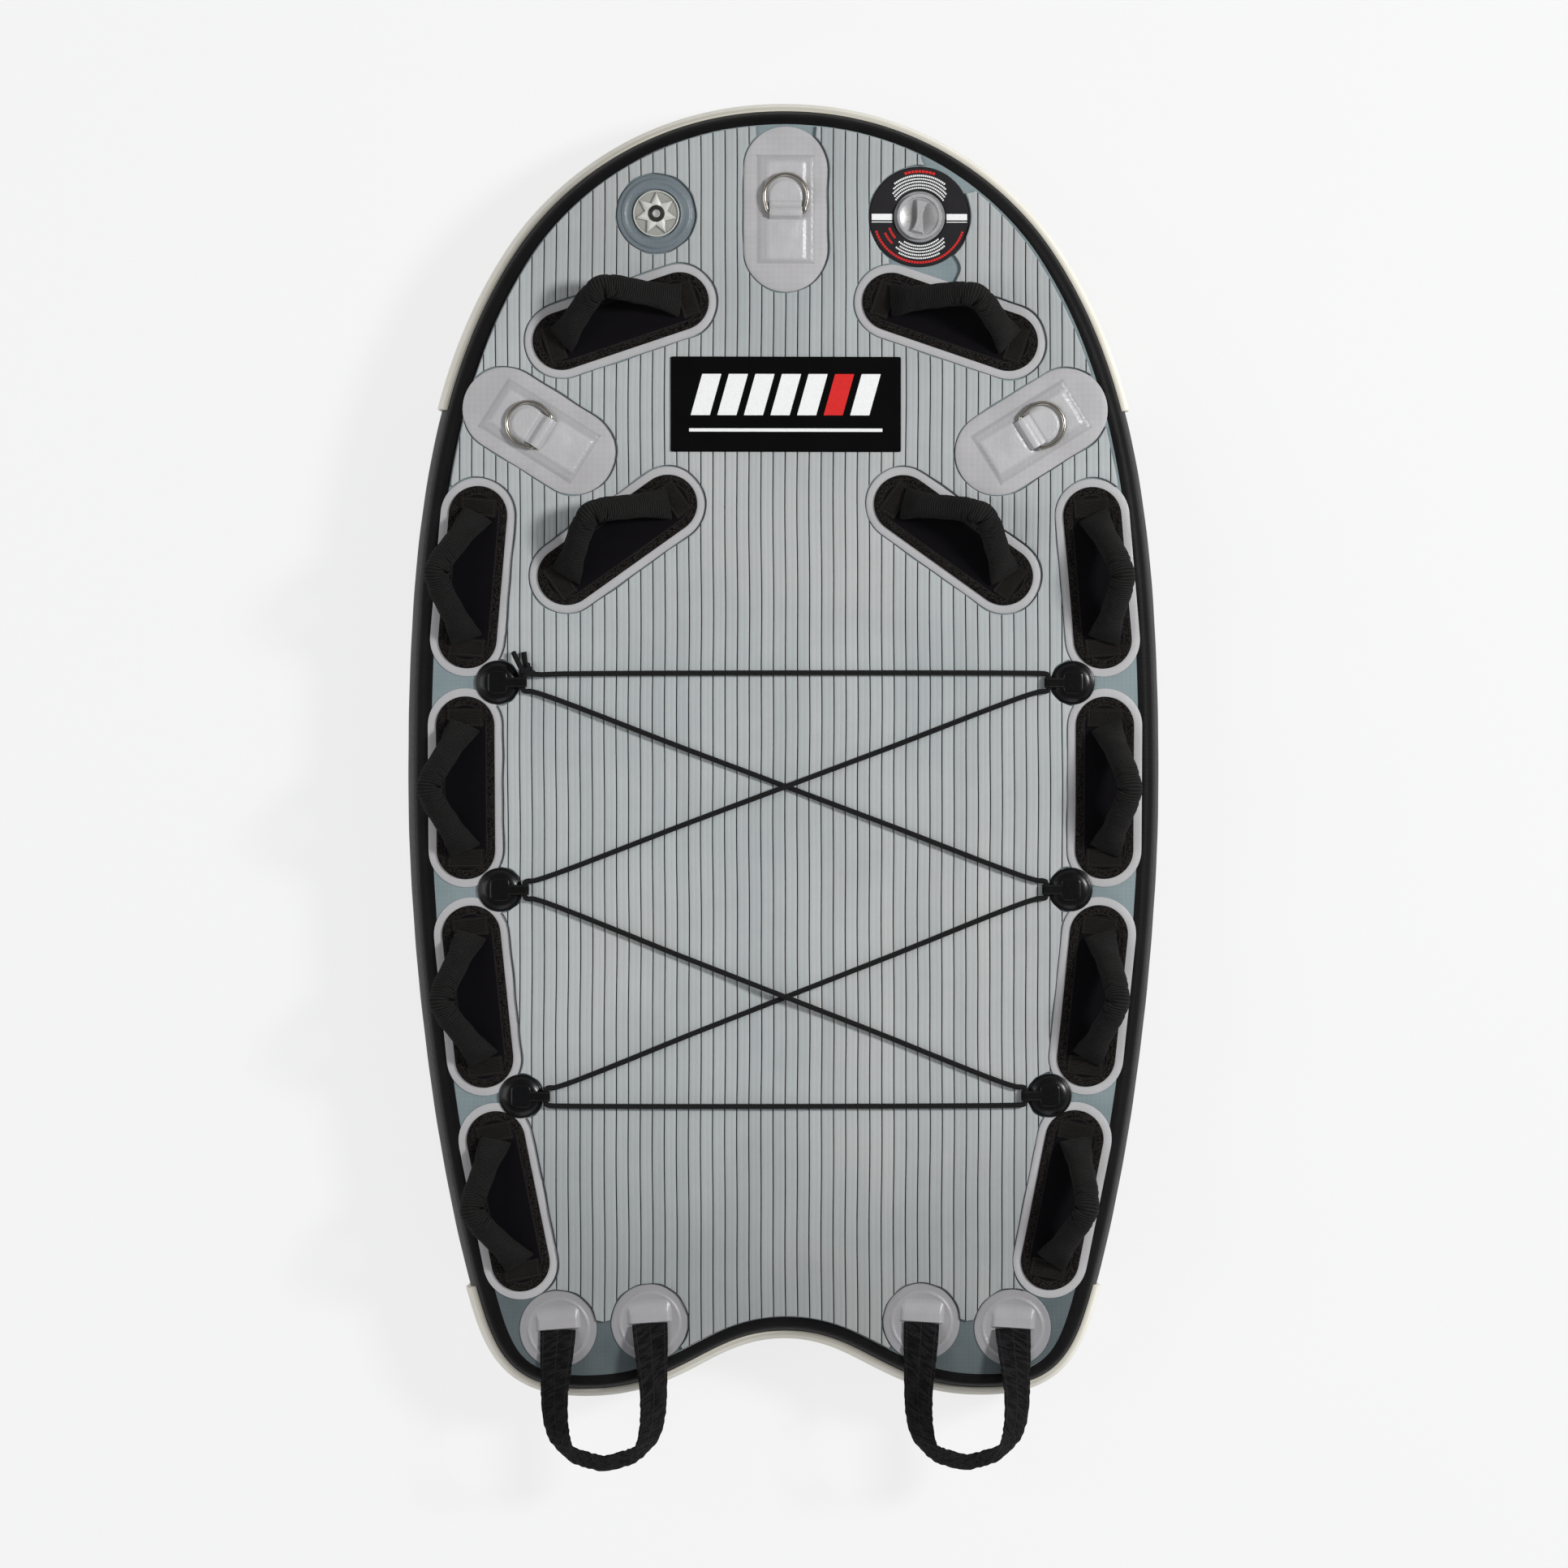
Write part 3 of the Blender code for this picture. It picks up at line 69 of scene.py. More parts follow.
aim = Vector((-0.0022, -0.0479, DECK))
eye = aim + Vector((CAMERA_SIDE, 0.0, CAMERA_HEIGHT))
camera = placed("camera", bpy.data.cameras.new("camera"))
camera.data.sensor_width = 36.0
camera.data.lens = 36.0 * (aim - eye).length / DECK_IN_PICTURE
camera.data.clip_end = 200.0
camera.location = eye
sight = (aim - eye).normalized()
right = sight.cross(Vector((0, 1, 0))).normalized()
camera.rotation_euler = Matrix((right, right.cross(sight), -sight)).transposed().to_euler()
bpy.context.scene.camera = camera
bpy.context.scene.view_settings.view_transform = "Standard"


def soft_lamp(name, place, size, power):
    """A square area lamp that faces the middle of the deck."""
    light = bpy.data.lights.new(name, "AREA")
    light.size = size
    light.energy = power
    lamp = placed(name, light)
    lamp.location = place
    lamp.rotation_euler = (Vector((0.0, 0.0, DECK)) - Vector(place)).to_track_quat("-Z", "Y").to_euler()


soft_lamp("key_lamp", (4.2, 1.3, 4.4), 1.1, 305.0)
soft_lamp("fill_lamp", (-4.0, 0.2, 4.0), 3.0, 88.0)
soft_lamp("tail_lamp", (0.6, -4.4, 3.0), 2.5, 20.0)
world = bpy.data.worlds.new("studio_air")
world.use_nodes = True
air = world.node_tree.nodes["Background"].inputs
air["Color"].default_value = (0.93, 0.96, 1.0, 1.0)
air["Strength"].default_value = 0.25
bpy.context.scene.world = world


def linear(red, green, blue):
    """A colour as it looks on a screen, 0 to 255, in the linear light of the shaders."""
    seen = np.array((red, green, blue)) / 255
    light = np.where(seen > 0.04045, ((seen + 0.055) / 1.055) ** 2.4, seen / 12.92)
    return (*map(float, light), 1.0)


def feed(socket, value):
    """Links an input to another node's output, or sets it. A colour of three numbers is one as on a screen."""
    if isinstance(value, bpy.types.NodeSocket):
        socket.id_data.links.new(value, socket)
    elif socket.type == "RGBA" and len(value) == 3:
        socket.default_value = linear(*value)
    else:
        socket.default_value = value


def in_order(node, *values):
    """Feeds a node's inputs in their own order, and gives back its first output."""
    for socket, value in zip(node.inputs, values):
        feed(socket, value)
    return node.outputs[0]


def wire(source, kind, output=0, **parts):
    """Adds a node to the tree that the source is in, and gives back one of its outputs.

    A part with a capital is an input, the others are settings.
    """
    node = source.id_data.nodes.new("ShaderNode" + kind)
    for name, value in parts.items():
        if name[0].isupper():
            feed(node.inputs[name.replace("_", " ")], value)
        else:
            setattr(node, name, value)
    return node.outputs[output]


def reckon(operation, *values):
    """A sum on one, two or three numbers. The first is a node's output, and the others may be plain values."""
    node = values[0].id_data.nodes.new("ShaderNodeMath")
    node.operation = operation
    return in_order(node, *values)


def scaled(value, times, plus=0.0):
    """A node's output times one number, plus another."""
    return reckon("MULTIPLY_ADD", value, times, plus)


def noise(place, scale, detail, roughness=0.5):
    """Soft lumps without order, about as many to the metre as the scale, with finer ones laid over them."""
    return wire(place, "TexNoise", Vector=place, Scale=scale, Detail=detail, Roughness=roughness)


def mixed(share, first, second, way="MIX"):
    """A colour that goes with the share from the first one to the second, or to their product."""
    return wire(share, "MixRGB", blend_type=way, Fac=share, Color1=first, Color2=second)


def new_finish(name, **plain):
    """A material whose shader has these plain values, and the output that gives each point's place on the sled."""
    made = bpy.data.materials.new(name)
    made.use_nodes = True
    shader = made.node_tree.nodes["Principled BSDF"]
    for socket, value in plain.items():
        shader.inputs[socket.replace("_", " ")].default_value = value
    return made, wire(shader, "TexCoord", output=3)


def dress(finish, colour, roughness=None, height=None, bump=0.001):
    """Links a pattern's colour, roughness and height, in metres times bump, to the shader."""
    shader = finish.node_tree.nodes["Principled BSDF"]
    feed(shader.inputs["Base Color"], colour)
    if roughness is not None:
        feed(shader.inputs["Roughness"], roughness)
    if height is not None:
        feed(shader.inputs["Normal"], wire(shader, "Bump", Strength=1.0, Distance=bump, Height=height))


def backdrop_finish():
    """Off-white paint. The camera and reflections see part of it as its plain colour, so its shadows stay pale."""
    made, place = new_finish("backdrop_paint", Roughness=0.9, Specular_IOR_Level=0.1)
    dress(made, mixed(noise(place, 3.0, 3.0), (244, 244, 244), (247, 247, 247)))
    nodes = made.node_tree.nodes
    rays = nodes.new("ShaderNodeLightPath").outputs
    seen = reckon("MAXIMUM", rays["Is Camera Ray"], rays["Is Glossy Ray"])
    seen = scaled(reckon("MAXIMUM", seen, rays["Is Transmission Ray"]), 0.85)
    glow = wire(place, "Emission", Color=(246, 246, 246))
    both = in_order(nodes.new("ShaderNodeMixShader"), seen, nodes["Principled BSDF"].outputs[0], glow)
    feed(nodes["Material Output"].inputs["Surface"], both)
    return made


def surface(grid, weave=None):
    """A mesh over a grid of points: each is joined to its neighbours along its row and its column.

    Points that fall together are merged, which closes seams and poles. The faces then turn outwards.
    """
    rows, columns = grid.shape[:2]
    number = np.arange(rows * columns).reshape(rows, columns)
    faces = np.stack([number[:-1, :-1], number[:-1, 1:], number[1:, 1:], number[1:, :-1]], -1).reshape(-1, 4)
    made = bpy.data.meshes.new("surface")
    made.from_pydata(grid.reshape(-1, 3), [], faces)
    if weave is not None:
        layer = made.uv_layers.new(name="weave")
        layer.data.foreach_set("uv", weave.reshape(-1, 2)[faces.ravel()].ravel())
    work = bmesh.new()
    work.from_mesh(made)
    bmesh.ops.remove_doubles(work, verts=work.verts, dist=2e-6)
    bmesh.ops.recalc_face_normals(work, faces=work.faces)
    work.to_mesh(made)
    work.free()
    return made


def coat(mesh, finish):
    """Gives a mesh one finish in place of any other."""
    mesh.materials.clear()
    mesh.materials.append(finish)


def shown(name, mesh, finish, crease=40.0):
    """Links a mesh with its finish, smooth but for edges sharper than the crease."""
    obj = placed(name, mesh)
    coat(mesh, finish)
    mesh.shade_smooth()
    mesh.set_sharp_from_angle(angle=math.radians(crease))
    return obj


def gridded(*parts):
    """Arrays stretched over one grid, side by side as the numbers of its points."""
    return np.stack(np.broadcast_arrays(*parts), -1)


def once_round(steps):
    """The angles of a whole turn, in one row."""
    return np.linspace(0, math.tau, steps + 1)[None, :]


def turned(profile, centre=(0.0, 0.0, 0.0), sides=96):
    """Radius and height points carried round an upright axis, a whole circle."""
    radius, height = np.asarray(profile, float)[:, :, None].transpose(1, 0, 2)
    turn = once_round(sides)
    return gridded(radius * np.cos(turn), radius * np.sin(turn), height) + np.asarray(centre, float)


FLOOR = -0.0006
sweep = np.radians(np.linspace(0, 90, 13))
cove = [(0.0, FLOOR), (8.0, FLOOR), *zip(26 + 4 * np.sin(sweep), 4 - 4 * np.cos(sweep)), (30.0, 22.0)]
shown("studio_floor", surface(turned(cove)), backdrop_finish())


# Hull. Two sheets of coated polyester are held parallel by the threads of the drop-stitch core, a band of the
# same cloth closes the side, and black seam tape is glued over both edges. The edge is rounded by the air inside.
NOSE_Y = 0.8652
HULL_THICKNESS = 0.150
EDGE_RADIUS = 0.016
BULGE_RADIUS = 0.170
SKIN = 0.0012
TAPE_DROP = 0.0185
TAPE_FLAT = 0.0005
TAPE_LIFT = 0.0004
TAPE_SIDE_EXTRA = 0.005
GAP = 0.0003
MIDDLE = HULL_THICKNESS / 2
RELIEF_CENTRE = (-0.1755, 0.7244)
INFLATION_CENTRE = (0.1815, 0.7211)
BARREL_RADIUS = 0.019

JOIN_ANGLE = math.degrees(math.asin((MIDDLE - EDGE_RADIUS) / (BULGE_RADIUS - EDGE_RADIUS)))
EDGE_CENTRE = BULGE_RADIUS - (BULGE_RADIUS - EDGE_RADIUS) * math.cos(math.radians(JOIN_ANGLE))
TAPE_ANGLE = math.degrees(math.asin((MIDDLE - TAPE_DROP) / BULGE_RADIUS))
BULGE_DEPTH = BULGE_RADIUS * (1 - math.cos(math.radians(TAPE_ANGLE)))
DECK_MARGIN = EDGE_CENTRE + TAPE_FLAT - BULGE_DEPTH


def aside(slope):
    """The direction that leaves the long axis towards the tail by this many degrees."""
    return np.array((math.sin(math.radians(slope)), -math.cos(math.radians(slope))))


NOSE = np.array((0.0, NOSE_Y))
SHOULDER = np.array((0.362, 0.6776))
WIDEST = np.array((0.5033, -0.040))
QUARTER = np.array((0.420, -0.723))
TAIL = np.array((0.270, -0.8674))
NOTCH = np.array((0.0, -0.7893))
HALF_CURVES = np.array([
    (NOSE, NOSE + (0.199, 0), SHOULDER - 0.082 * aside(33.8), SHOULDER),
    (SHOULDER, SHOULDER + 0.196 * aside(33.8), WIDEST + (0, 0.342), WIDEST),
    (WIDEST, WIDEST - (0, 0.201), QUARTER - 0.209 * aside(-14.9), QUARTER),
    (QUARTER, QUARTER + 0.098 * aside(-14.9), TAIL + (0.105, 0), TAIL),
    (TAIL, TAIL - (0.132, 0), NOTCH + (0.107, 0), NOTCH),
])


def unit(vectors):
    """Each row of numbers brought to a length of one."""
    return vectors / np.linalg.norm(vectors, axis=1)[:, None]


def travelled(line, power=1.0):
    """How far each point of a line lies from its first one, with every gap on the way raised to the power."""
    return np.concatenate([[0], np.cumsum(np.linalg.norm(np.diff(line, axis=0), axis=1) ** power)])


def edge_line(stations):
    """Points and outward directions on the hull's outline, seen from above.

    A station runs from 0 at the nose to 5 in the tail's notch, and is negative on the left. Each whole step is
    one cubic curve: its four corners are weighed by the cubes and squares of the share travelled and left.
    """
    stations = np.asarray(stations, float)
    place = np.minimum(np.abs(stations), 5 - 1e-9)
    t = (place - place.astype(int))[:, None]
    a, b, c, d = HALF_CURVES[place.astype(int)].transpose(1, 0, 2)
    s = 1 - t
    point = s**3 * a + 3 * s * s * t * b + 3 * s * t * t * c + t**3 * d
    along = unit(s * s * (b - a) + 2 * s * t * (c - b) + t * t * (d - c))
    side = np.where(stations < 0, -1.0, 1.0)
    return np.column_stack([side * point[:, 0], point[:, 1]]), np.column_stack([-side * along[:, 1], along[:, 0]])


FINE = np.linspace(0, 5, 4001)
FINE_POINTS, _ = edge_line(FINE)
FINE_RUN = travelled(FINE_POINTS)


def even_stations(start, end, count):
    """Stations on the right half, an equal length of edge apart."""
    run = np.interp((start, end), FINE, FINE_RUN)
    return np.interp(np.linspace(*run, count), FINE_RUN, FINE)


def round_hull(count):
    """Stations once round the hull, clockwise, with the nose at both ends."""
    right = even_stations(0, 5, count)
    return np.concatenate([right, -right[::-1]])


def station_at(y):
    """The station on the right side at a distance from the middle, looked up on the way to the quarter."""
    return float(np.interp(-y, -FINE_POINTS[:3201, 1], FINE[:3201]))


def section(angle, inset=0.0):
    """Reach and height on the wall's section, where it faces this many degrees above level.

    Up to the join it is an arc of the wide bulge, and past it an arc of the small rounded edge.
    """
    angle = np.asarray(angle, float)
    up, level = np.sin(np.radians(angle)), np.cos(np.radians(angle))
    bulge = np.abs(angle) <= JOIN_ANGLE
    radius = np.where(bulge, BULGE_RADIUS, EDGE_RADIUS) - inset
    across = np.where(bulge, BULGE_RADIUS, EDGE_CENTRE)
    height = MIDDLE + np.where(bulge, 0.0, np.sign(angle) * (MIDDLE - EDGE_RADIUS))
    return np.column_stack([BULGE_DEPTH - (across - radius * level), height + radius * up])


def swept(profile, stations, extra=0.0):
    """A section of reach and height carried along the hull's edge, with extra reach added point by point."""
    points, outward = edge_line(stations)
    reach = profile[None, :, 0] + extra
    flat = points[:, None] + reach[:, :, None] * outward[:, None]
    return gridded(flat[:, :, 0], flat[:, :, 1], profile[None, :, 1])


def side_extra(outward):
    """How much further in the tape reaches where the edge faces aside: the sixth power of that share of it."""
    return TAPE_SIDE_EXTRA * outward[:, :1] ** 6


def cut_away(mesh, cutters, *moulds):
    """What is left of a closed mesh inside closed moulds, once closed cutters have taken their share."""
    helpers = [placed("helper", each) for each in [mesh, *moulds, *cutters]]
    for i, helper in enumerate(helpers[1:]):
        step = helpers[0].modifiers.new("cut", "BOOLEAN")
        step.operation = "INTERSECT" if i < len(moulds) else "DIFFERENCE"
        step.solver = "MANIFOLD"
        step.object = helper
    made = bpy.data.meshes.new_from_object(helpers[0].evaluated_get(bpy.context.evaluated_depsgraph_get()))
    for helper in helpers:
        bpy.data.objects.remove(helper)
    return made


def fitted(name, mesh, finish, slot, *nodes, body="hull", crease=40.0):
    """A piece of the sled: it rides on a body, takes its finish and stands for CAD nodes. The slot is not used."""
    obj = shown(name, mesh, finish, crease)
    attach(obj, body)
    if nodes:
        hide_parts(*nodes)
    return obj


def ramp(value, low, high, start=0.0, end=1.0):
    """Start below the low value, end above the high one, and a smooth change between."""
    node = value.id_data.nodes.new("ShaderNodeMapRange")
    node.interpolation_type = "SMOOTHSTEP"
    return in_order(node, value, low, high, start, end)


def split(place):
    """The three numbers of a point."""
    return wire(place, "SeparateXYZ", Vector=place).node.outputs


def weave_height(place, pitch):
    """Two crossed sets of waves, a pitch apart, running both ways aslant on a surface that faces any way."""
    x, y, z = split(place)
    turns = math.tau / pitch / math.sqrt(2)
    one = reckon("SINE", scaled(reckon("ADD", reckon("ADD", x, y), z), turns))
    two = reckon("SINE", scaled(reckon("SUBTRACT", reckon("ADD", x, z), y), turns))
    return scaled(one, two)


def painted_end_shade(place, tone, nose, tail):
    """Painted shade: a colour loses these shares of its light at the two ends, unevenly, from a third of the way
    on.
    """
    along = scaled(noise(place, 7.0, 3.0), 0.12, split(place)[1])
    for end_shade_share, low, high in ((nose, 0.40, 0.80), (tail, -0.30, -0.80)):
        tone = mixed(ramp(along, low, high), tone, (1 - end_shade_share, 1 - end_shade_share, 1 - end_shade_share, 1.0), "MULTIPLY")
    return tone


def painted_low_shade(place, tone, levels, most, painted_shade):
    """Painted shade: a colour that takes on up to this share of a shade's colour, from the upper of two levels
    down.
    """
    return mixed(ramp(split(place)[2], *levels, most, 0.0), tone, painted_shade)


def coated_cloth(name, colour, shade, roughness, lattice=0.15, weave=0.0084, shine=0.35, pebbles=0.0, end_shade=None,
                 shaded_foot=None):
    """PVC on woven polyester: the weave shows through softly, with cloudy patches and a rubbed, uneven gloss.

    Where it was pressed hot over webbing, the cloth has shallow pebbles too. End shade, for the nose and the tail,
    is painted shade that darkens a cloth that runs the whole length. Painted shade also darkens the cloth from the
    upper level of the foot down to the lower one.
    """
    made, place = new_finish(name, Specular_IOR_Level=shine)
    mottle = weave_height(place, weave)
    tone = mixed(scaled(mottle, lattice, ramp(noise(place, 14.0, 5.0, 0.6), 0.25, 0.75)), shade, colour)
    # Painted shade: the cloth darkens towards the nose and the tail.
    if end_shade:
        tone = painted_end_shade(place, tone, *end_shade)
    # Painted shade: the cloth darkens round the foot of raised parts, below the upper level.
    if shaded_foot:
        tone = painted_low_shade(place, tone, shaded_foot, 0.30, (96, 95, 97))
    scuffs = noise(place, 160.0, 4.0, 0.7)
    height = reckon("ADD", scaled(weave_height(place, 0.0017), 0.25, scaled(mottle, 0.4)), scuffs)
    if pebbles:
        height = scaled(noise(place, 230.0, 2.0), pebbles, height)
    dress(made, tone, scaled(scuffs, 0.25, roughness - 0.12), height, 0.00012)
    return made


def deck_sheet(top, outward):
    """A sheet over the whole deck: the outline shrunk towards the middle in steps, with slow shallow swells.

    Its two faces are a skin's thickness apart, and outward is 1 for the deck and -1 for the underside.
    """
    points, away = edge_line(round_hull(181))
    edge = points - (DECK_MARGIN + side_extra(away) + 0.0002) * away
    steps = 25
    share = np.concatenate([np.linspace(0, 1, steps), [1.0, 0.5, 0.0]])[:, None]
    x, y = edge[:, 0] * share, edge[:, 1] * share
    swell = np.sin(31 * x + 9 * y) * np.sin(23 * y - 5 * x) + 0.6 * np.sin(71 * x - 40 * y)
    face = np.where(np.arange(len(share)) < steps, 1.0, 0.0)[:, None]
    height = top - outward * SKIN * (1 - face) + outward * 0.00012 * swell * face * (1 - share**8)
    return surface(gridded(x, y, height))


# The deck cloth has painted shade that darkens it towards the tail.
deck_cloth = coated_cloth("deck_pvc", (134, 147, 150), (119, 133, 137), 0.40, end_shade=(0.0, 0.62))
shaft = BARREL_RADIUS + GAP
barrel = [(0, 0.14), (shaft, 0.14), (shaft, 0.16), (0, 0.16)]
barrels = [surface(turned(barrel, (*centre, 0), 48)) for centre in (RELIEF_CENTRE, INFLATION_CENTRE)]
fitted("deck_cloth", cut_away(deck_sheet(DECK, 1), barrels), deck_cloth, "pvc_skin", "top_skin")
fitted("underside_cloth", deck_sheet(0.0, -1), deck_cloth, "pvc_skin", "bottom_skin")

wall_cloth = coated_cloth("wall_pvc", (34, 33, 33), (27, 26, 26), 0.55, shine=0.2)
wall_turn = np.linspace(TAPE_ANGLE, -TAPE_ANGLE, 25)
wall = np.vstack([section(wall_turn), section(wall_turn[::-1], SKIN), section(wall_turn[:1])])
stations = round_hull(361)
run = np.interp(np.abs(stations), FINE, FINE_RUN)[:, None]
puckers = 0.00018 * np.sin(run * 57) * np.sin(wall[None, :, 1] * 60 + run * 23)
fitted("side_wall_cloth", surface(swept(wall, stations, puckers)), wall_cloth, "pvc_wall", "side_wall")

tape_cloth = coated_cloth("seam_tape_pvc", (22, 21, 21), (15, 14, 14), 0.46, shine=0.06)
tape_turn = np.concatenate([np.linspace(90, JOIN_ANGLE, 12), np.linspace(JOIN_ANGLE, TAPE_ANGLE, 4)[1:]])
lap = section(tape_turn, -TAPE_LIFT)
under = section(tape_turn[::-1], SKIN)
rim = (-DECK_MARGIN, DECK)
tape = np.vstack([rim, (rim[0] + TAPE_LIFT, DECK + TAPE_LIFT), lap, under, (rim[0], DECK - SKIN), rim])
extra = np.zeros((len(stations), len(tape)))
extra[:, [0, 1, -2, -1]] = -side_extra(edge_line(stations)[1]) - 0.0004 * np.sin(run * 41) * np.sin(run * 17 + 1)
splice = (stations < -1.02) & (stations > -1.75)
extra[:, 2:2 + len(lap)] += 0.0005 * splice[:, None]
upper = swept(tape, stations, extra)
fitted("upper_tape", surface(upper), tape_cloth, "seam_tape", "upper_seam_tape")
lower = upper * (1, 1, -1) + (0, 0, HULL_THICKNESS)
fitted("lower_tape", surface(lower), tape_cloth, "seam_tape", "lower_seam_tape")

threads, place = new_finish("stitch_threads", Roughness=0.85, Specular_IOR_Level=0.2)
strands = wire(place, "TexWave", Vector=place, Scale=160.0, Distortion=2.0, Detail=2.0)
dress(threads, mixed(strands, (206, 205, 200), (236, 235, 230)), None, strands, 0.0003)
coat(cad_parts["drop_stitch_core"].data, threads)


# Bumpers. Cream rubber strakes with three rounded ribs are glued round the nose and the tail, over the side
# wall. They are extruded in one length and cut square at the ends.
STRAKE_TOP = 0.0215
STRAKE_BASE = 0.0032
STRAKE_RIB = 0.0068
STRAKE_LIP = 0.0025
STRAKE_RIBS = 1.5               # waves of the cosine from the middle rib to an edge
STRAKE_CUT = 0.002              # how far before its end, in stations, a strake begins to close
NOSE_STRAKE_Y = 0.459
TAIL_STRAKE_Y = -0.729


def strake(stations):
    """Three ribs as raised cosines on a base that thins to a lip at both edges, closed by the wall's own line."""
    top = MIDDLE - STRAKE_TOP
    height = np.linspace(top, -top, 49)
    share = height / top
    rib = (0.5 + 0.5 * np.cos(share * math.tau * STRAKE_RIBS)) ** 0.7
    reach = STRAKE_BASE + (STRAKE_RIB - STRAKE_BASE) * rib
    reach = STRAKE_LIP + (reach - STRAKE_LIP) * np.clip((1 - np.abs(share)) * 9, 0, 1) ** 0.6
    base = section(np.degrees(np.arcsin(height / BULGE_RADIUS)), -GAP)
    rubber = base + np.column_stack([reach, np.zeros(len(reach))])
    profile = np.vstack([rubber, base[::-1], rubber[:1]])
    order = np.arange(len(stations))
    full = np.interp(np.minimum(order, order[::-1]), (0, 1, 2), (0, 0.8, 1))[:, None]
    extra = np.zeros((len(stations), len(profile)))
    extra[:, :len(reach)] = (full - 1) * reach
    extra[:, -1] = extra[:, 0]
    return surface(swept(profile, stations, extra))


cream, place = new_finish("cream_rubber", Specular_IOR_Level=0.3, Subsurface_Weight=0.04,
                          Subsurface_Radius=(0.004, 0.003, 0.002))
tone = mixed(ramp(noise(place, 9.0, 5.0, 0.6), 0.3, 0.7), (231, 227, 214), (241, 237, 227))
# Painted shade: the grooves between the ribs are darkened towards a greyer beige.
up = reckon("DIVIDE", reckon("SUBTRACT", split(place)[2], MIDDLE), MIDDLE - STRAKE_TOP)
painted_shade = ramp(reckon("COSINE", scaled(up, math.tau * STRAKE_RIBS)), -0.9, -0.1, 0.55, 0.0)
marks = noise(place, 210.0, 3.0, 0.6)
dress(cream, mixed(painted_shade, tone, (174, 168, 152)), scaled(marks, 0.3, 0.36), marks, 0.0002)

nose_end = station_at(NOSE_STRAKE_Y)
square = nose_end - STRAKE_CUT
half = even_stations(0, nose_end, 121)
half = np.concatenate([half[half < square], [square, nose_end, nose_end]])
fitted("nose_strake", strake(np.concatenate([-half[:0:-1], half])), cream, "cream_rubber", "nose_bumper")
tail_end = station_at(TAIL_STRAKE_Y)
square = tail_end + STRAKE_CUT
half = even_stations(tail_end, 5, 121)
half = np.concatenate([[tail_end, tail_end, square], half[half > square]])
fitted("tail_strake", strake(np.concatenate([half, -half[-2::-1]])), cream, "cream_rubber", "tail_bumper")


# Deck pad. A sheet of closed-cell foam, pale grey on a dark layer, is glued to the deck. A cutter runs grooves
# along it down to the dark layer, a centre line is pressed into each strip, and holes let it round every patch.
GROOVE_PITCH = 0.01633
PAD_BOTTOM = DECK + GAP
PAD_TOP = PAD_BOTTOM + 0.005
PAD_EDGE = 0.0015
PAD_GAP = 0.0015
PAD_LIP = 0.0012
CUT_DEPTH = 0.008
CUT_RISE = 0.004
HANDLE_STRAIGHT = 0.1683
HANDLE_PATCH_WIDTH = 0.1012
TOW_STRAIGHT = 0.110
TOW_WIDTH = 0.1144
NOSE_TOW_Y = 0.731
ANCHOR_RADIUS = 0.0297
STRAP_PATCH_RADIUS = 0.0520
OUTER_STRAP = np.array((0.308, -0.7855))
INNER_STRAP = np.array((0.1842, -0.7770))
RELIEF_BOOT_RADIUS = 0.0535
LABEL_RADIUS = 0.0682
SIDES = (("left", -1), ("right", 1))


def beside_edge(y, inset, side):
    """A point on the deck, inset from the edge, and the direction that the edge faces there, in degrees."""
    point, outward = edge_line([station_at(y)])
    angle = math.degrees(math.atan2(outward[0, 1], outward[0, 0]))
    return (side * (point[0, 0] - inset), y), angle if side > 0 else 180 - angle


def handle_places():
    """Name, centre, turn, lean of the grip and side shift of its middle, for each of the twelve handles."""
    places = []
    leans = (46.0, 45.0, -0.014), (25.0, 36.0, 0.020)
    for (side, sign), (lean, bow_lean, bow_shift) in zip(SIDES, leans):
        places.append((f"bow_{side}", beside_edge(0.5789, 0.1928, sign)[0], -sign * 18.7, bow_lean, bow_shift))
        places.append((f"chest_{side}", beside_edge(0.2827, 0.2608, sign)[0], -sign * 35.5, 45.0, sign * 0.012))
        for number, y in enumerate((0.232, -0.053, -0.3355, -0.6125), 1):
            centre, outward = beside_edge(y, 0.0700, sign)
            places.append((f"{side}_{number}", centre, outward - 90, lean, 0.0))
    return places


def tow_places():
    """Name, centre and turn of the three towing patches. The ring points along the patch's own +Y."""
    left, right = (beside_edge(0.430, 0.1308, side)[0] for side in (-1, 1))
    return [("nose", (0.0, NOSE_TOW_Y), 0.0), ("left", left, 58.0), ("right", right, -58.0)]


def anchor_places():
    """Name, centre and turn of the six cord anchors. The eye points along the anchor's own +X, inboard."""
    places = []
    for row, y in (("front", 0.0895), ("middle", -0.1910), ("rear", -0.4705)):
        for side, sign in SIDES:
            places.append((f"{row}_{side}", beside_edge(y, 0.1115, sign)[0], 0.0 if sign < 0 else 180.0))
    return places


def slot_directions(straight, steps=28, side_steps=20):
    """Once round a slot shape: the nearest point on its middle line, and the direction outwards from there."""
    turn = np.radians(np.linspace(-90, 90, steps + 1))
    side = np.linspace(1, -1, side_steps + 1)[1:-1] * straight / 2
    end = np.full(steps + 1, straight / 2)
    middle = np.concatenate([end, side, -end, -side, end[:1]])
    up = np.full(len(side), math.pi / 2)
    angle = np.concatenate([turn, up, turn + math.pi, -up, turn[:1]])
    return np.column_stack([middle, np.zeros(len(middle))]), np.column_stack([np.cos(angle), np.sin(angle)])


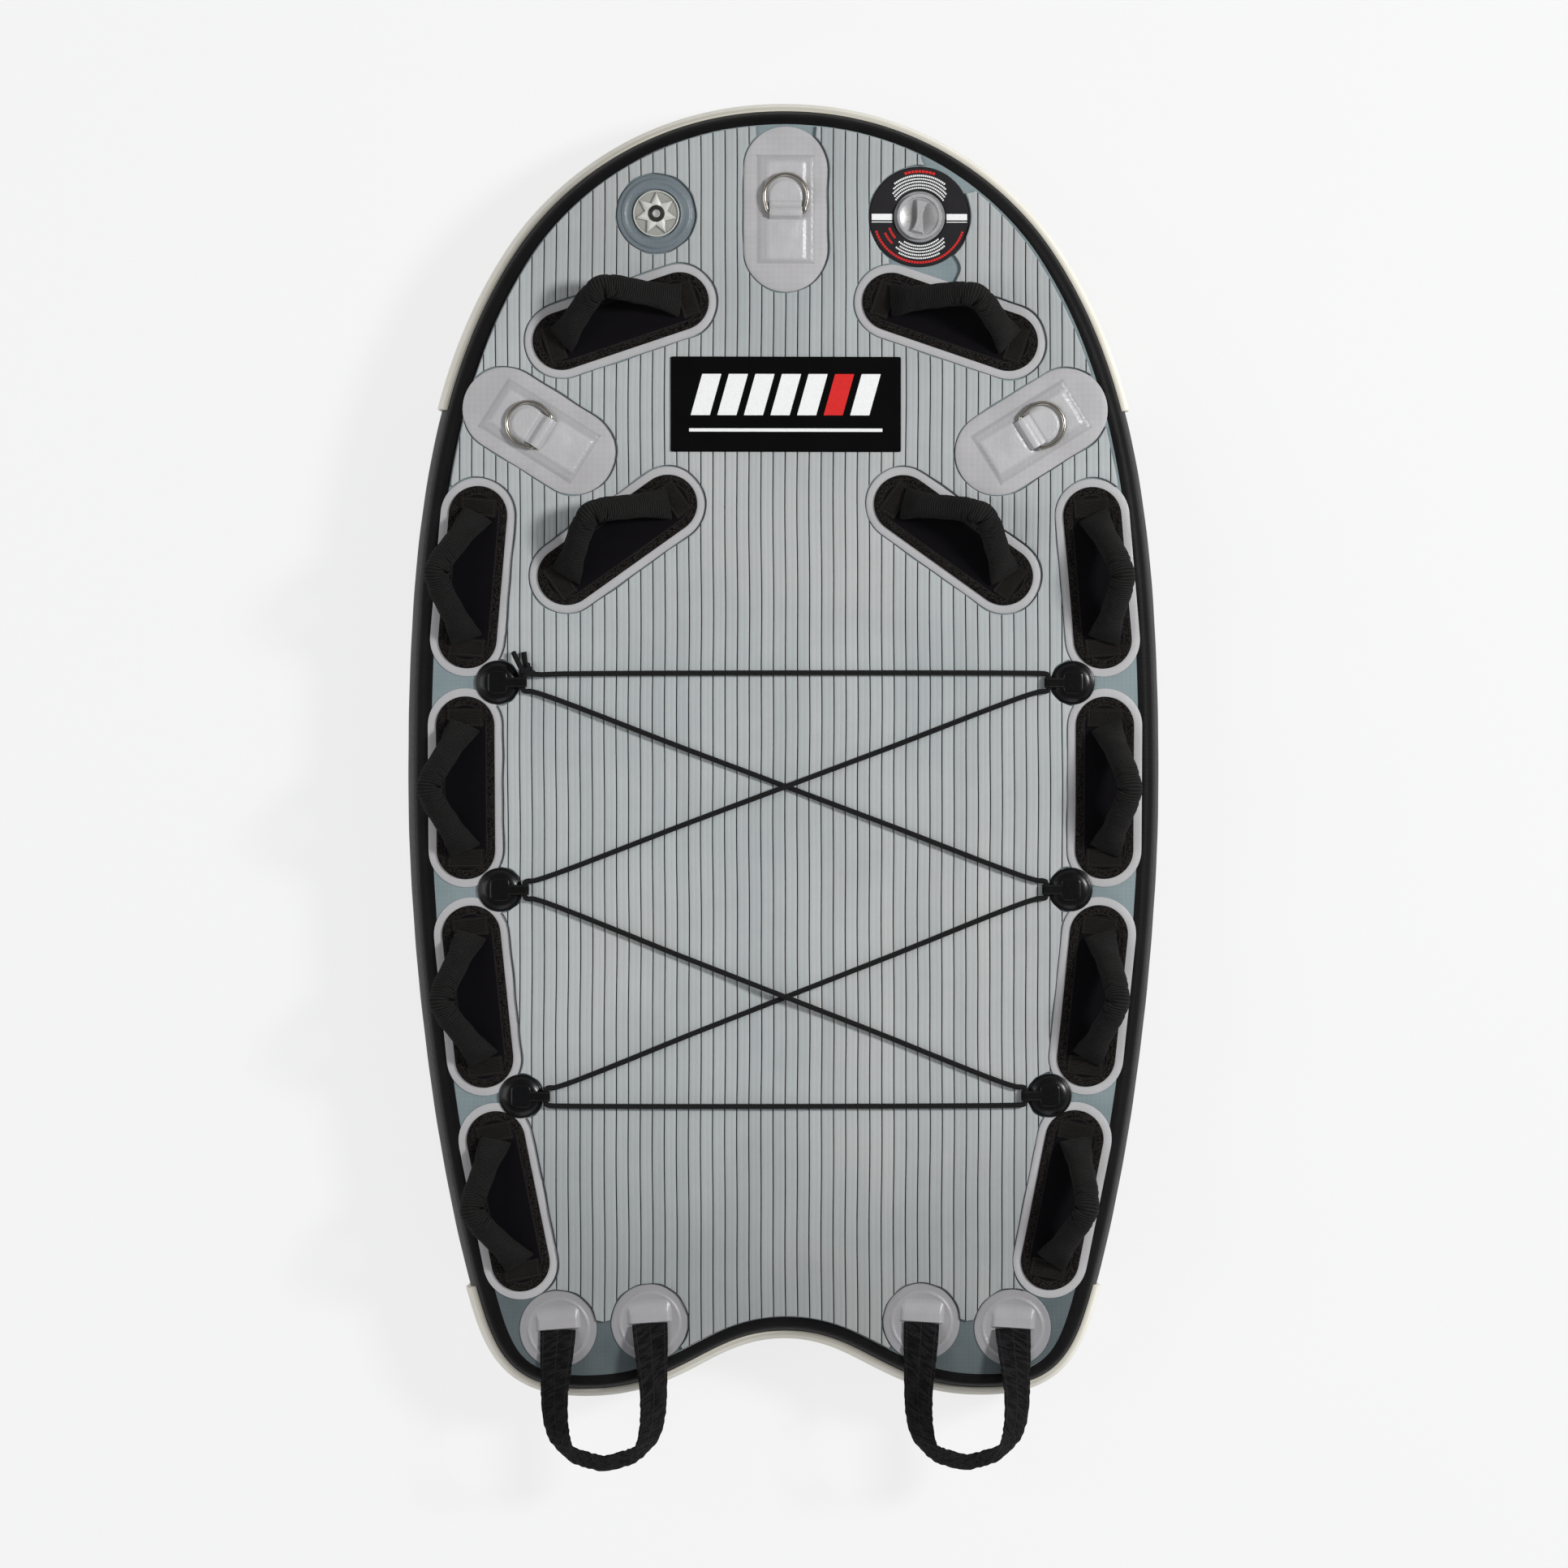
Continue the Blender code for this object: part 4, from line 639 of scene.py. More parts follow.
def carried(points, centre, turn=0.0, height=0.0, lean=0.0):
    """A piece's own drawing leaned back about X, turned about Z and carried to its centre and height."""
    lean, turn = math.radians(lean), math.radians(turn)
    x, y, z = np.moveaxis(points, -1, 0)
    back = y * math.cos(lean) + z * math.sin(lean)
    up = z * math.cos(lean) - y * math.sin(lean) + height
    return gridded(centre[0] + x * math.cos(turn) - back * math.sin(turn),
                   centre[1] + x * math.sin(turn) + back * math.cos(turn), up)


def at_height(points, height):
    """The points of a flat drawing, all at one height."""
    return np.column_stack([points, np.full(len(points), height)])


def pad_cutter(straight, width, centre, turn=0.0, seed=0.0):
    """What a knife takes out round a patch: a slot shape with a slightly unsteady edge, flared at the top.

    The edge strays by two slow waves round the hole. Near the pad's face the cutter grows by a quarter circle,
    which leaves the foam with a rounded lip.
    """
    middle, away = slot_directions(straight)
    run = travelled(middle + width / 2 * away)
    round_hole = math.tau * run / run[-1]
    stray = 0.0005 * np.sin(5 * round_hole + seed) + 0.0004 * np.sin(11 * round_hole + 2 * seed)
    reach = (width / 2 + PAD_GAP + stray)[:, None]
    arc = np.radians(np.linspace(0, 90, 5))
    levels = [(-CUT_DEPTH, 0.0), *zip(PAD_LIP * (np.sin(arc) - 1), PAD_LIP * (1 - np.cos(arc))),
              (CUT_RISE, PAD_LIP + 0.002)]
    rings = [at_height(middle + (reach + flare) * away, PAD_TOP + depth) for depth, flare in levels]
    ends = [at_height(middle, PAD_TOP - CUT_DEPTH), at_height(middle, PAD_TOP + CUT_RISE)]
    return surface(carried(np.array([ends[0], *rings, ends[1]]), centre, turn))


def pad_outline():
    """The pad's outer edge: along the tape at the nose, in between the side handles, and along the tail.

    It was laid a few millimetres to the left, so at the right shoulder some of the deck shows beside the tape.
    """
    points, away = edge_line(round_hull(361)[:361])
    inset = points - (DECK_MARGIN + side_extra(away) + PAD_EDGE) * away
    handles = [place for place in handle_places() if place[0].startswith("right_")]
    anchors = [place for place in anchor_places() if place[0].endswith("_right")]
    start_y = handles[0][1][1] + HANDLE_STRAIGHT / 2 + HANDLE_PATCH_WIDTH * 0.4
    front = inset[inset[:, 1] > start_y]
    edge = [*front, (front[-1, 0] + 0.0004, start_y)]
    for i, (_, centre, turn, _, _) in enumerate(handles):
        along = np.array((math.cos(math.radians(turn)), math.sin(math.radians(turn)))) * HANDLE_STRAIGHT / 2
        edge += [centre - along, centre + along]
        if i < len(anchors):
            edge.append(anchors[i][1] - np.array((ANCHOR_RADIUS * 0.3, 0)))
    edge += [OUTER_STRAP + (0, 0.022), (OUTER_STRAP + INNER_STRAP) / 2 + (0, 0.005), INNER_STRAP + (0, 0.020)]
    edge += [*inset[(inset[:, 1] < -0.74) & (inset[:, 0] < INNER_STRAP[0] - STRAP_PATCH_RADIUS * 0.75)]]
    edge = np.array(edge)
    outline = np.vstack([edge, edge[-2:0:-1] * (-1, 1), edge[:1]])
    at_shoulder = np.clip((outline - (0.15, 0.3)) / 0.1, 0, 1).prod(axis=1)
    outline[:, 0] -= 0.0032 * at_shoulder
    return outline


def slab(face, floor):
    """A closed solid under a face given as a grid: the same grid at the floor's height, and walls between."""
    face = np.concatenate([face[:1], face, face[-1:]])
    under = face * (1, 1, 0) + (0, 0, floor)
    face[[0, -1], :, 2] = floor
    return np.concatenate([face, under[:, ::-1], face[:, :1]], 1)


def grooved_slab():
    """The foam before it is cut out: a section of grooves and pressed lines, drawn along Y in slow waves.

    Each pitch of the section has a narrow flat-bottomed groove with rounded lips and a shallow dip halfway. The
    section wanders sideways by two slow sines of Y, and the face swells and sinks by a fraction of a millimetre.
    """
    across, depth = np.transpose([
        (-0.0014, 0.0), (-0.00095, 0.0002), (-0.0007, 0.0009), (-0.0005, 0.0030), (0.0005, 0.0030),
        (0.0007, 0.0009), (0.00095, 0.0002), (0.0014, 0.0), (0.0064, 0.0), (0.0076, 0.00022), (0.00816, 0.0003),
        (0.0087, 0.00022), (0.0099, 0.0)])
    strips = np.arange(-31, 32)[:, None]
    x = (strips * GROOVE_PITCH + across - 0.0006).ravel()
    down = np.tile(depth, len(strips))
    y = np.linspace(-0.90, 0.90, 91)[:, None]
    wander = 0.00045 * np.sin(y * 13 + x * 7) + 0.00035 * np.sin(y * 31 - x * 11 + 1)
    swell = 0.00022 * np.sin(y * 17 + x * 9) * np.sin(x * 21 - y * 6) + 0.00012 * np.sin(y * 55 + x * 23)
    return surface(slab(gridded(x + wander, y, PAD_TOP - down + swell), PAD_BOTTOM))


def pad_mould(outline):
    """A closed block over the pad's outline, drawn in by a rounded lip near the pad's face."""
    ahead = unit(np.roll(outline[:-1], -1, 0) - np.roll(outline[:-1], 1, 0))
    outward = np.column_stack([-ahead[:, 1], ahead[:, 0]])
    outward = np.vstack([outward, outward[:1]])
    levels = ((-CUT_DEPTH, 0.0), (-PAD_LIP, 0.0), (-0.0007, 0.0002), (-0.0003, 0.0005), (0.0, PAD_LIP),
              (CUT_RISE, 0.003))
    rings = [at_height(outline - set_in * outward, PAD_TOP + z) for z, set_in in levels]
    middle = np.zeros((len(outline), 3)) + (0, -0.1, PAD_TOP)
    return surface(np.array([middle - (0, 0, CUT_DEPTH), *rings, middle + (0, 0, CUT_RISE)]))


# Straight length, width, centre, turn and seed of each hole. The odd ones are the slot ahead of the nose's towing
# patch, and two notches at the rim of the inflation valve's hole.
holes = [(HANDLE_STRAIGHT, HANDLE_PATCH_WIDTH, centre, turn, i)
         for i, (_, centre, turn, _, _) in enumerate(handle_places())]
holes += [(TOW_STRAIGHT, TOW_WIDTH, centre, turn + 90, 3 * i + 1)
          for i, (_, centre, turn) in enumerate(tow_places())]
holes.append((0.10, 0.079, (0.0, 0.84), 90, 4))
holes += [(0.0, 2 * ANCHOR_RADIUS, centre, 0.0, i) for i, (_, centre, _) in enumerate(anchor_places())]
holes += [(0.0, 2 * STRAP_PATCH_RADIUS, (side * x, y), 0.0, x * 9 + side)
          for _, side in SIDES for x, y in (OUTER_STRAP, INNER_STRAP)]
holes += [(0.0, 2 * RELIEF_BOOT_RADIUS, RELIEF_CENTRE, 0.0, 2.0),
          (0.0, 2 * LABEL_RADIUS, INFLATION_CENTRE, 0.0, 5.0),
          (0.050, 0.046, (0.188, 0.656), -14.0, 1.0),
          (0.050, 0.044, (0.226, 0.792), -36.0, 6.0)]
pad_mesh = cut_away(grooved_slab(), [pad_cutter(*hole) for hole in holes], pad_mould(pad_outline()))

foam, place = new_finish("foam_pad", Specular_IOR_Level=0.25, Sheen_Weight=0.15, Sheen_Roughness=0.5)
aside_x, _, level = split(place)
strip = reckon("FLOOR", scaled(aside_x, 1 / GROOVE_PITCH, 100.04))
strip_tone = wire(place, "TexWhiteNoise", noise_dimensions="1D", W=strip)
streaks = noise(wire(place, "Mapping", Vector=place, Scale=(60.0, 3.0, 1.0)), 1.0, 4.0, 0.6)
share = scaled(strip_tone, 0.30, scaled(ramp(noise(place, 5.0, 6.0, 0.62), 0.3, 0.7), 0.4))
tone = mixed(scaled(streaks, 0.3, share), (160, 166, 167), (186, 190, 190))
rubbed = ramp(noise(place, 3.4, 5.0, 0.7), 0.42, 0.62)
# Painted shade: the foam darkens a little towards the nose and more towards the tail.
tone = painted_end_shade(place, mixed(rubbed, tone, (1.0, 0.97, 0.955, 1.0), "MULTIPLY"), 0.08, 0.33)
tone = mixed(ramp(level, PAD_TOP - 0.0018, PAD_TOP - 0.0008), (46, 49, 50), tone)
cells = noise(place, 900.0, 3.0, 0.7)
dress(foam, tone, scaled(cells, 0.2, 0.62), cells, 0.0003)
pad = fitted("traction_pad", pad_mesh, foam, "foam_pad", "deck_pad", crease=35.0)


# Name panel. A black rubber plate is glued on the chest of the pad. Its print is left plain: a row of slanted
# white bars with one red bar, over a thin line.
PANEL_Y = 0.4664
PANEL_BOTTOM = PAD_TOP + GAP
PANEL = 0.0013
PANEL_PRINT = 0.0003
BAR_PITCH = 0.036


def signed_power(wave, power):
    """A wave raised to a power with its sign kept. What is next to nothing becomes nothing."""
    return np.where(np.abs(wave) < 1e-9, 0.0, np.sign(wave) * np.abs(wave) ** power)


def soft_block(length, width, height, roundness=0.14, slant=0.0, steps=11, around=40):
    """A block with rounded edges, standing on Z = 0.

    Each of its three sizes follows a cosine or a sine of two angles, raised to the roundness, so that a small
    roundness gives flat faces and tight edges. Slant moves the far side of its width along its length.
    """
    up = np.radians(np.linspace(-90, 90, steps))[:, None]
    turn = once_round(around)
    level = signed_power(np.cos(up), roundness)
    x = length / 2 * signed_power(np.cos(turn), roundness) * level
    y = width / 2 * signed_power(np.sin(turn), roundness) * level
    return gridded(x + slant * y, y, height / 2 * (1 + signed_power(np.sin(up), roundness)))


def grained(name, shade, colour, grain, gloss, bump, levels=None, clouds=None, **plain):
    """Rubber, ink, metal or moulded plastic with a fine grain that can be felt and that dulls the gloss.

    Grain and clouds are a noise's scale, detail and roughness. The colour goes from the shade on with the
    clouds, or else with the grain, and within the levels if these are given. The roughness is the grain times
    the first number of the gloss, plus the second.
    """
    made, place = new_finish(name, **plain)
    grain = noise(place, *grain)
    share = noise(place, *clouds) if clouds else grain
    if levels:
        share = ramp(share, *levels)
    dress(made, mixed(share, shade, colour), scaled(grain, *gloss), grain, bump)
    return made


rubber = grained("panel_rubber", (3, 3, 3), (9, 9, 9), (700.0, 3.0, 0.7), (0.2, 0.6), 0.0002, clouds=(30.0, 4.0),
                 Specular_IOR_Level=0.04)
worn_and_fresh = {"white": ((224, 224, 223), (240, 240, 239)), "red": ((190, 30, 28), (214, 32, 30))}
inks = {word: grained(f"{word}_ink", *tones, (500.0, 4.0, 0.7), (0.2, 0.42), 0.0001, (0.3, 0.5),
                      Specular_IOR_Level=0.3) for word, tones in worn_and_fresh.items()}
plate = soft_block(0.312, 0.129, PANEL, 0.02, around=80)
fitted("chest_panel", surface(carried(plate, (0, PANEL_Y), height=PANEL_BOTTOM)), rubber, "panel", "name_panel")
print_level = PANEL_BOTTOM + PANEL - 0.0001
for i in range(7):
    word = "red" if i == 5 else "white"
    bar = soft_block(0.026, 0.056, PANEL_PRINT, 0.03, slant=0.28, around=80)
    bar = carried(bar, ((i - 3) * BAR_PITCH, PANEL_Y + 0.013), height=print_level)
    fitted(f"chest_{word}_bar_{i + 1}", surface(bar), inks[word], "panel")
line = carried(soft_block(0.262, 0.0045, PANEL_PRINT, 0.03, around=80), (0, PANEL_Y - 0.035), height=print_level)
fitted("chest_white_line", surface(line), inks["white"], "panel")


# Handles, twelve of them. Each is a grey PVC patch welded to the deck, a black neoprene knuckle pad with a fleece
# border stitched on by a zigzag, two webbing tabs sewn down in a box, and a padded ribbed sleeve on the webbing.
PATCH = 0.0012
PATCH_BOTTOM = DECK + GAP
PATCH_TOP = PATCH_BOTTOM + PATCH
KNUCKLE_WIDTH = 0.0792
KNUCKLE = 0.0045
KNUCKLE_TOP = PATCH_TOP + KNUCKLE
TAB_LENGTH = 0.0255
TAB_WIDTH = 0.050
TAB_INNER = 0.0825
GRIP_AXIS = KNUCKLE_TOP + 0.0033
GRIP_FOOT = 0.0860
GRIP_HEIGHT = 0.079
STITCH = 0.0016


def slot_plate(straight, width, levels):
    """A plate with round ends, and where each point lies along the rim and in from it.

    Each level is a distance in from the rim and a height. Both ends of the list close on the middle line.
    """
    middle, away = slot_directions(straight)
    levels = [(width / 2, levels[0][1]), *levels, (width / 2, levels[-1][1])]
    rings = [at_height(middle + (width / 2 - inset) * away, height) for inset, height in levels]
    insets = np.array(levels)[:, :1]
    return np.array(rings), gridded(travelled(middle + width / 2 * away)[None, :], insets)


def black_cloth(name, colour, thread, twill, bump, ribs=0.16, puckers=0.0, border=None, seams=(), ends=()):
    """Black webbing or neoprene. Ribs cross the piece's own length, broken by a finer thread and by lint.

    Where a border is given, the outer strip of the piece is fleece, and a zigzag of thread holds its inner edge.
    Seams are rows of stitches this far to both sides of the middle, and ends are rows that cross them. Puckers
    are long folds that run aslant, drawn up by the stitches, and their crests are lighter as a painted sheen.
    """
    made, place = new_finish(name, Specular_IOR_Level=0.06, Sheen_Weight=0.02, Sheen_Roughness=0.4)
    weave = place.node.outputs["UV"]
    along, inset, _ = split(weave)
    lint = noise(place, 420.0, 4.0, 0.75)
    rib = reckon("SINE", scaled(along, math.tau / twill))
    cross = reckon("SINE", scaled(scaled(along, 0.4, inset), math.tau / (twill * 0.55)))
    cloth = scaled(cross, 0.35, rib)
    share = scaled(cloth, ribs, scaled(lint, 0.8, -0.1))
    share = scaled(noise(place, 38.0, 4.0), 0.3, share)
    height = scaled(lint, 0.6, scaled(cloth, 0.5))
    if puckers:
        folds = wire(weave, "Mapping", vector_type="TEXTURE", Vector=weave, Rotation=(0, 0, 1.1),
                     Scale=(0.022, 0.0042, 1.0))
        folds = ramp(noise(folds, 1.0, 2.0), 0.35, 0.65)
        # Painted sheen: the colour lightens along the crests of the folds.
        share = scaled(folds, 0.7, reckon("SUBTRACT", share, 0.3))
        height = scaled(folds, puckers, height)
    tone = mixed(share, colour, thread)
    if border is not None:
        tufts = wire(place, "TexVoronoi", Vector=place, Scale=560.0)
        pile = mixed(ramp(tufts, 0.1, 0.75), (52, 48, 45), (8, 7, 7))
        zigzag = reckon("PINGPONG", along, STITCH)
        seam = reckon("ABSOLUTE", reckon("SUBTRACT", reckon("SUBTRACT", inset, border), zigzag))
        stitch = ramp(seam, 0.0004, 0.0009, 1.0, 0.0)
        fleece = ramp(inset, border, border + 0.0012, 1.0, 0.0)
        tone = mixed(stitch, mixed(fleece, tone, pile), (42, 41, 41))
        height = scaled(stitch, 1.2, scaled(scaled(tufts, fleece), -2.2, height))
    for rows, across, down in ((seams, inset, along), (ends, along, inset)):
        for row in rows:
            off = reckon("ABSOLUTE", reckon("SUBTRACT", reckon("ABSOLUTE", across), row))
            step = ramp(reckon("PINGPONG", down, STITCH), 0.0002, 0.0005)
            stitch = scaled(ramp(off, 0.0004, 0.0008, 1.0, 0.0), step)
            tone = mixed(stitch, tone, (52, 50, 49))
            height = scaled(ramp(off, 0.0006, 0.0016, 1.0, 0.0), -1.3, height)
            height = scaled(stitch, 1.6, height)
    dress(made, tone, scaled(lint, 0.15, 0.72), height, bump)
    return made


grey_patch = coated_cloth("grey_patch_pvc", (182, 181, 182), (172, 171, 172), 0.38, lattice=0.10)
knuckle_cloth = black_cloth("knuckle_neoprene", (10, 8, 11), (17, 15, 18), 0.0009, 0.00025, border=0.0105)
sleeve_cloth = black_cloth("ribbed_sleeve", (10, 9, 9), (48, 47, 46), 0.0034, 0.0014, ribs=0.26)
tab_webbing = black_cloth("sewn_webbing", (4, 3, 3), (54, 51, 48), 0.0018, 0.0011, ribs=0.30, seams=(0.0216,),
                          ends=(0.0098,))


def squarish(turn, power):
    """The reach of a superellipse as wide as a circle: the higher the power, the squarer it is."""
    return (np.abs(np.cos(turn)) ** power + np.abs(np.sin(turn)) ** power) ** (-1 / power)


def grip_sleeve(shift, lean):
    """The padded sleeve, drawn in the handle's own frame.

    Its line is two straight legs from the tabs to the middle, with the corner rounded by a hyperbola: each leg
    counts as far as the mean of the distance past the corner and the distance to a point beside it. Its section
    grows from a flat mouth, cut aslant, that lies on the pad to a full round, and its width turns from level to
    the lean on the way. The inner side of the corner is pinched by one deep fold and four small ones, all aslant.
    """
    lean = math.radians(lean)
    apex = np.array((shift, GRIP_HEIGHT))
    leg = np.array([(-GRIP_FOOT, 0.0), (GRIP_FOOT, 0.0)]) - apex
    reach = np.linalg.norm(leg, axis=1)
    leg = unit(leg)
    share = signed_power(np.linspace(-1, 1, 141), 1.25)[:, None]
    far = np.where(share < 0, reach[0], reach[1])
    run = share * far
    soft = np.sqrt(run**2 + 0.018**2)
    line = apex + leg[0] * (soft - run) / 2 + leg[1] * (soft + run) / 2
    up = line[:, 1:]
    level_way, up_way = np.split(unit(np.gradient(line, axis=0)), 2, axis=1)
    from_foot = far - np.abs(run)
    stops = (0.0, 0.004, 0.010, 0.018, 0.028, 0.042)
    thick = np.interp(from_foot, stops, (0.0023, 0.0036, 0.0064, 0.0104, 0.0144, 0.0164))
    wide = np.interp(from_foot, stops, (0.0200, 0.0202, 0.0198, 0.0190, 0.0180, 0.0168))
    tilt = lean * np.interp(up, (0.002, 0.012, 0.028), (0.0, 0.3, 1.0))
    skew = 0.42 * np.sign(up_way) * np.interp(up, (0.0, 0.010, 0.028), (1.0, 0.8, 0.0))
    turn = once_round(40)
    inner = np.clip(np.cos(turn - math.radians(215)), 0, 1)
    fold = 0.42 * np.exp(-((run + 0.004 * np.cos(turn)) / 0.0032) ** 2) * inner**0.6
    for place, size in ((-0.021, 0.10), (-0.0110, 0.19), (0.0120, 0.18), (0.0225, 0.09)):
        bend = run - place - 0.010 * np.sign(place) * np.cos(turn) ** 2
        fold += size * np.exp(-(bend / 0.0022) ** 2) * np.clip(inner + 0.35, 0, 1)
    swell = 1 + 0.018 * np.sin(run * 210 + 2 * turn) + 0.015 * np.sin(run * 95 - turn)
    size = (swell - fold) * np.clip((1 - np.abs(share)) * 60, 0, 1) ** 0.3
    size = size * (1 + (squarish(turn, 3) - 1) * np.clip(1 - from_foot / 0.03, 0, 1))
    level = size * wide * np.cos(turn)
    raised = size * thick * np.sin(turn)
    x = line[:, :1] - raised * up_way - level * skew
    y = up * math.sin(lean) + level * np.cos(tilt) + raised * level_way * np.sin(tilt)
    z = up * math.cos(lean) - level * np.sin(tilt) + raised * level_way * np.cos(tilt)
    return gridded(x, y, z), gridded(run, turn * 0.0155)


patch_levels = ((0.0, 0.0), (0.0, 0.0006), (0.0002, 0.0010), (0.0007, PATCH), (0.009, PATCH))
knuckle_levels = ((0.0, 0.0), (0.0001, 0.0012), (0.0007, 0.0026), (0.0018, 0.0036), (0.0036, 0.0042),
                  (0.0070, 0.0043), (0.0096, 0.0041), (0.0108, 0.0036), (0.0122, 0.0039), (0.0160, 0.0044),
                  (0.026, KNUCKLE))
for name, centre, turn, lean, shift in handle_places():
    rim, rim_weave = slot_plate(HANDLE_STRAIGHT, HANDLE_PATCH_WIDTH, patch_levels)
    patch = surface(carried(rim, centre, turn, PATCH_BOTTOM), rim_weave)
    fitted(f"handle_patch_{name}", patch, grey_patch, "grey_patch", f"handle_pad_{name}")
    padding, pad_weave = slot_plate(HANDLE_STRAIGHT, KNUCKLE_WIDTH, knuckle_levels)
    knuckle = surface(carried(padding, centre, turn, PATCH_TOP), pad_weave)
    fitted(f"knuckle_pad_{name}", knuckle, knuckle_cloth, "knuckle_pad")
    for end, word in ((-1, "a"), (1, "b")):
        tab = soft_block(TAB_LENGTH, TAB_WIDTH, 0.0015, 0.1, around=64)
        sewn = carried(tab + (end * (TAB_INNER + TAB_LENGTH / 2), 0, 0), centre, turn, KNUCKLE_TOP - 0.0006)
        fitted(f"handle_tab_{name}_{word}", surface(sewn, tab[..., :2]), tab_webbing, "webbing")
    sleeve, sleeve_weave = grip_sleeve(shift, lean)
    sleeve = surface(carried(sleeve, centre, turn, GRIP_AXIS), sleeve_weave)
    grip = shown(f"grip_sleeve_{name}", sleeve, sleeve_cloth, crease=60.0)
    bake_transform(grip)
    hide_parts(f"grip_{name}")


# Towing points, three of them. A long PVC patch is welded over a pad of folded webbing, which shows as two raised
# bevelled blocks, and a short webbing keeper between them holds the straight bar of a stainless steel D ring.
TOW_BLOCK_TOP = PATCH_TOP + 0.003
RING_WIRE = 0.003
RING_AXIS = TOW_BLOCK_TOP + GAP + RING_WIRE
RING_SET_BACK = 0.0044
RING_BAR = 0.0213
RING_CORNER = 0.0044
RING_BOW = 0.0293
RING_BOW_AHEAD = 0.022


def within(place, half, soft):
    """1 inside half a width from the middle, 0 outside it, with a smooth bevel as wide as soft."""
    share = np.clip((half - np.abs(place)) / soft, 0, 1)
    return share * share * (3 - 2 * share)


def pressed_block():
    """Two blocks on a broad low one, each a product of bevels across and along, with slightly uneven faces.

    Both swell inside the ring's loop, as it lies now and, more softly, as it lies folded over: the swelling
    follows the distance from the loop's straight sides or from its bow, whichever is beside it.
    """
    x = np.linspace(-0.0388, 0.0388, 79)[None, :]
    y = np.linspace(-0.0738, 0.0738, 149)[:, None]
    base = 0.0011 * within(x, 0.0386, 0.0060) * within(y, 0.0736, 0.0060)
    upper = within(x, 0.0292, 0.0070) * within(y - 0.0372, 0.0308, 0.0070)
    lower = within(x, 0.0292, 0.0070) * within(y + 0.0405, 0.0310, 0.0070)
    ahead = np.abs(y + RING_SET_BACK)
    beside = np.where(ahead > RING_BOW_AHEAD, np.hypot(x, ahead - RING_BOW_AHEAD), np.abs(x))
    front = y > -RING_SET_BACK
    crown = np.where(front, 0.0022, 0.0016) * within(beside, 0.0252, np.where(front, 0.0060, 0.0200))
    crown = crown * within(ahead - 0.035, 0.0250, 0.0060)
    dents = 0.00014 * np.sin(x * 260 + y * 90) * np.sin(y * 210 - x * 70)
    height = 0.0002 + base + (0.0019 + dents) * np.maximum(upper, lower) + crown
    return surface(slab(gridded(x, y, height), 0.0))


def carried_mesh(mesh, centre, turn, height):
    """A mesh turned about Z and carried to its place."""
    mesh.transform(Matrix.Translation((*centre, height)) @ Matrix.Rotation(math.radians(turn), 4, "Z"))
    return mesh


def heading(line):
    """The direction of travel along an open line. Its ends are doubled, and take their neighbours' direction."""
    ahead = np.gradient(line, axis=0)
    ahead[[0, -1]] = ahead[[1, -2]]
    return unit(ahead)


def pinched(count):
    """The size of each ring of a strip: full, but nothing at the two ends, so that they close."""
    size = np.ones((count, 1))
    size[[0, -1]] = 0
    return size


def band(line, width, thickness, around=24, roundness=3.0):
    """A flat strip along a line in the XZ plane, and its weave.

    Its section is a superellipse, wide along Y and thin across the line. Both ends close on the line.
    """
    line = np.asarray(line, float)
    ahead = heading(line)
    turn = once_round(around)
    size = pinched(len(line)) * squarish(turn, roundness)
    across = size * width / 2 * np.cos(turn)
    raised = size * thickness / 2 * np.sin(turn)
    grid = gridded(line[:, :1] - raised * ahead[:, 1:], across, line[:, 1:] + raised * ahead[:, :1])
    return grid, gridded(travelled(line)[:, None], across)


def rod(line, radius, sides, closed=False):
    """A round rod along a line that is never upright: rings square to it. An open one closes at its ends."""
    if closed:
        ahead = unit(np.roll(line, -1, 0) - np.roll(line, 1, 0))
        size = radius
    else:
        line = np.vstack([line[:1], line, line[-1:]])
        ahead = heading(line)
        size = radius * pinched(len(line))[:, :, None]
    beside = unit(np.cross(ahead, (0.0, 0.0, 1.0)))
    over = np.cross(beside, ahead)
    turn = once_round(sides)[:, :, None]
    grid = line[:, None] + size * (np.cos(turn) * beside[:, None] + np.sin(turn) * over[:, None])
    weave = gridded(travelled(line)[:, None], turn[:, :, 0] * radius)
    if closed:
        return np.concatenate([grid, grid[:1]]), np.concatenate([weave, weave[-1:]])
    return grid, weave


def ring_line():
    """The D: a straight bar, two tight corners, two bulged sides and a half circle, as one closed line."""
    corner = np.radians(np.linspace(-90, 0, 9))[:, None]
    bulge = np.radians(np.linspace(20, 80, 5))[:, None]
    arc = np.radians(np.linspace(0, 180, 61))[:, None]
    start = np.array((RING_BAR + RING_CORNER, RING_CORNER))
    growth = np.array((RING_BOW, RING_BOW_AHEAD)) - start
    right = np.vstack([start + RING_CORNER * np.hstack([np.cos(corner) - 1, np.sin(corner)]),
                       start + growth * np.hstack([np.sin(bulge), bulge / (math.pi / 2)])])
    bow = np.hstack([RING_BOW * np.cos(arc), RING_BOW_AHEAD + RING_BOW * np.sin(arc)])
    bar = np.column_stack([np.linspace(-0.0200, 0.0200, 12), np.zeros(12)])
    return at_height(np.vstack([bar, right, bow, right[::-1] * (-1, 1)]), 0.0)


steel = grained("stainless_steel", (136, 130, 121), (176, 171, 163), (240.0, 4.0, 0.7), (0.16, 0.14), 0.00005,
                Metallic=1.0)
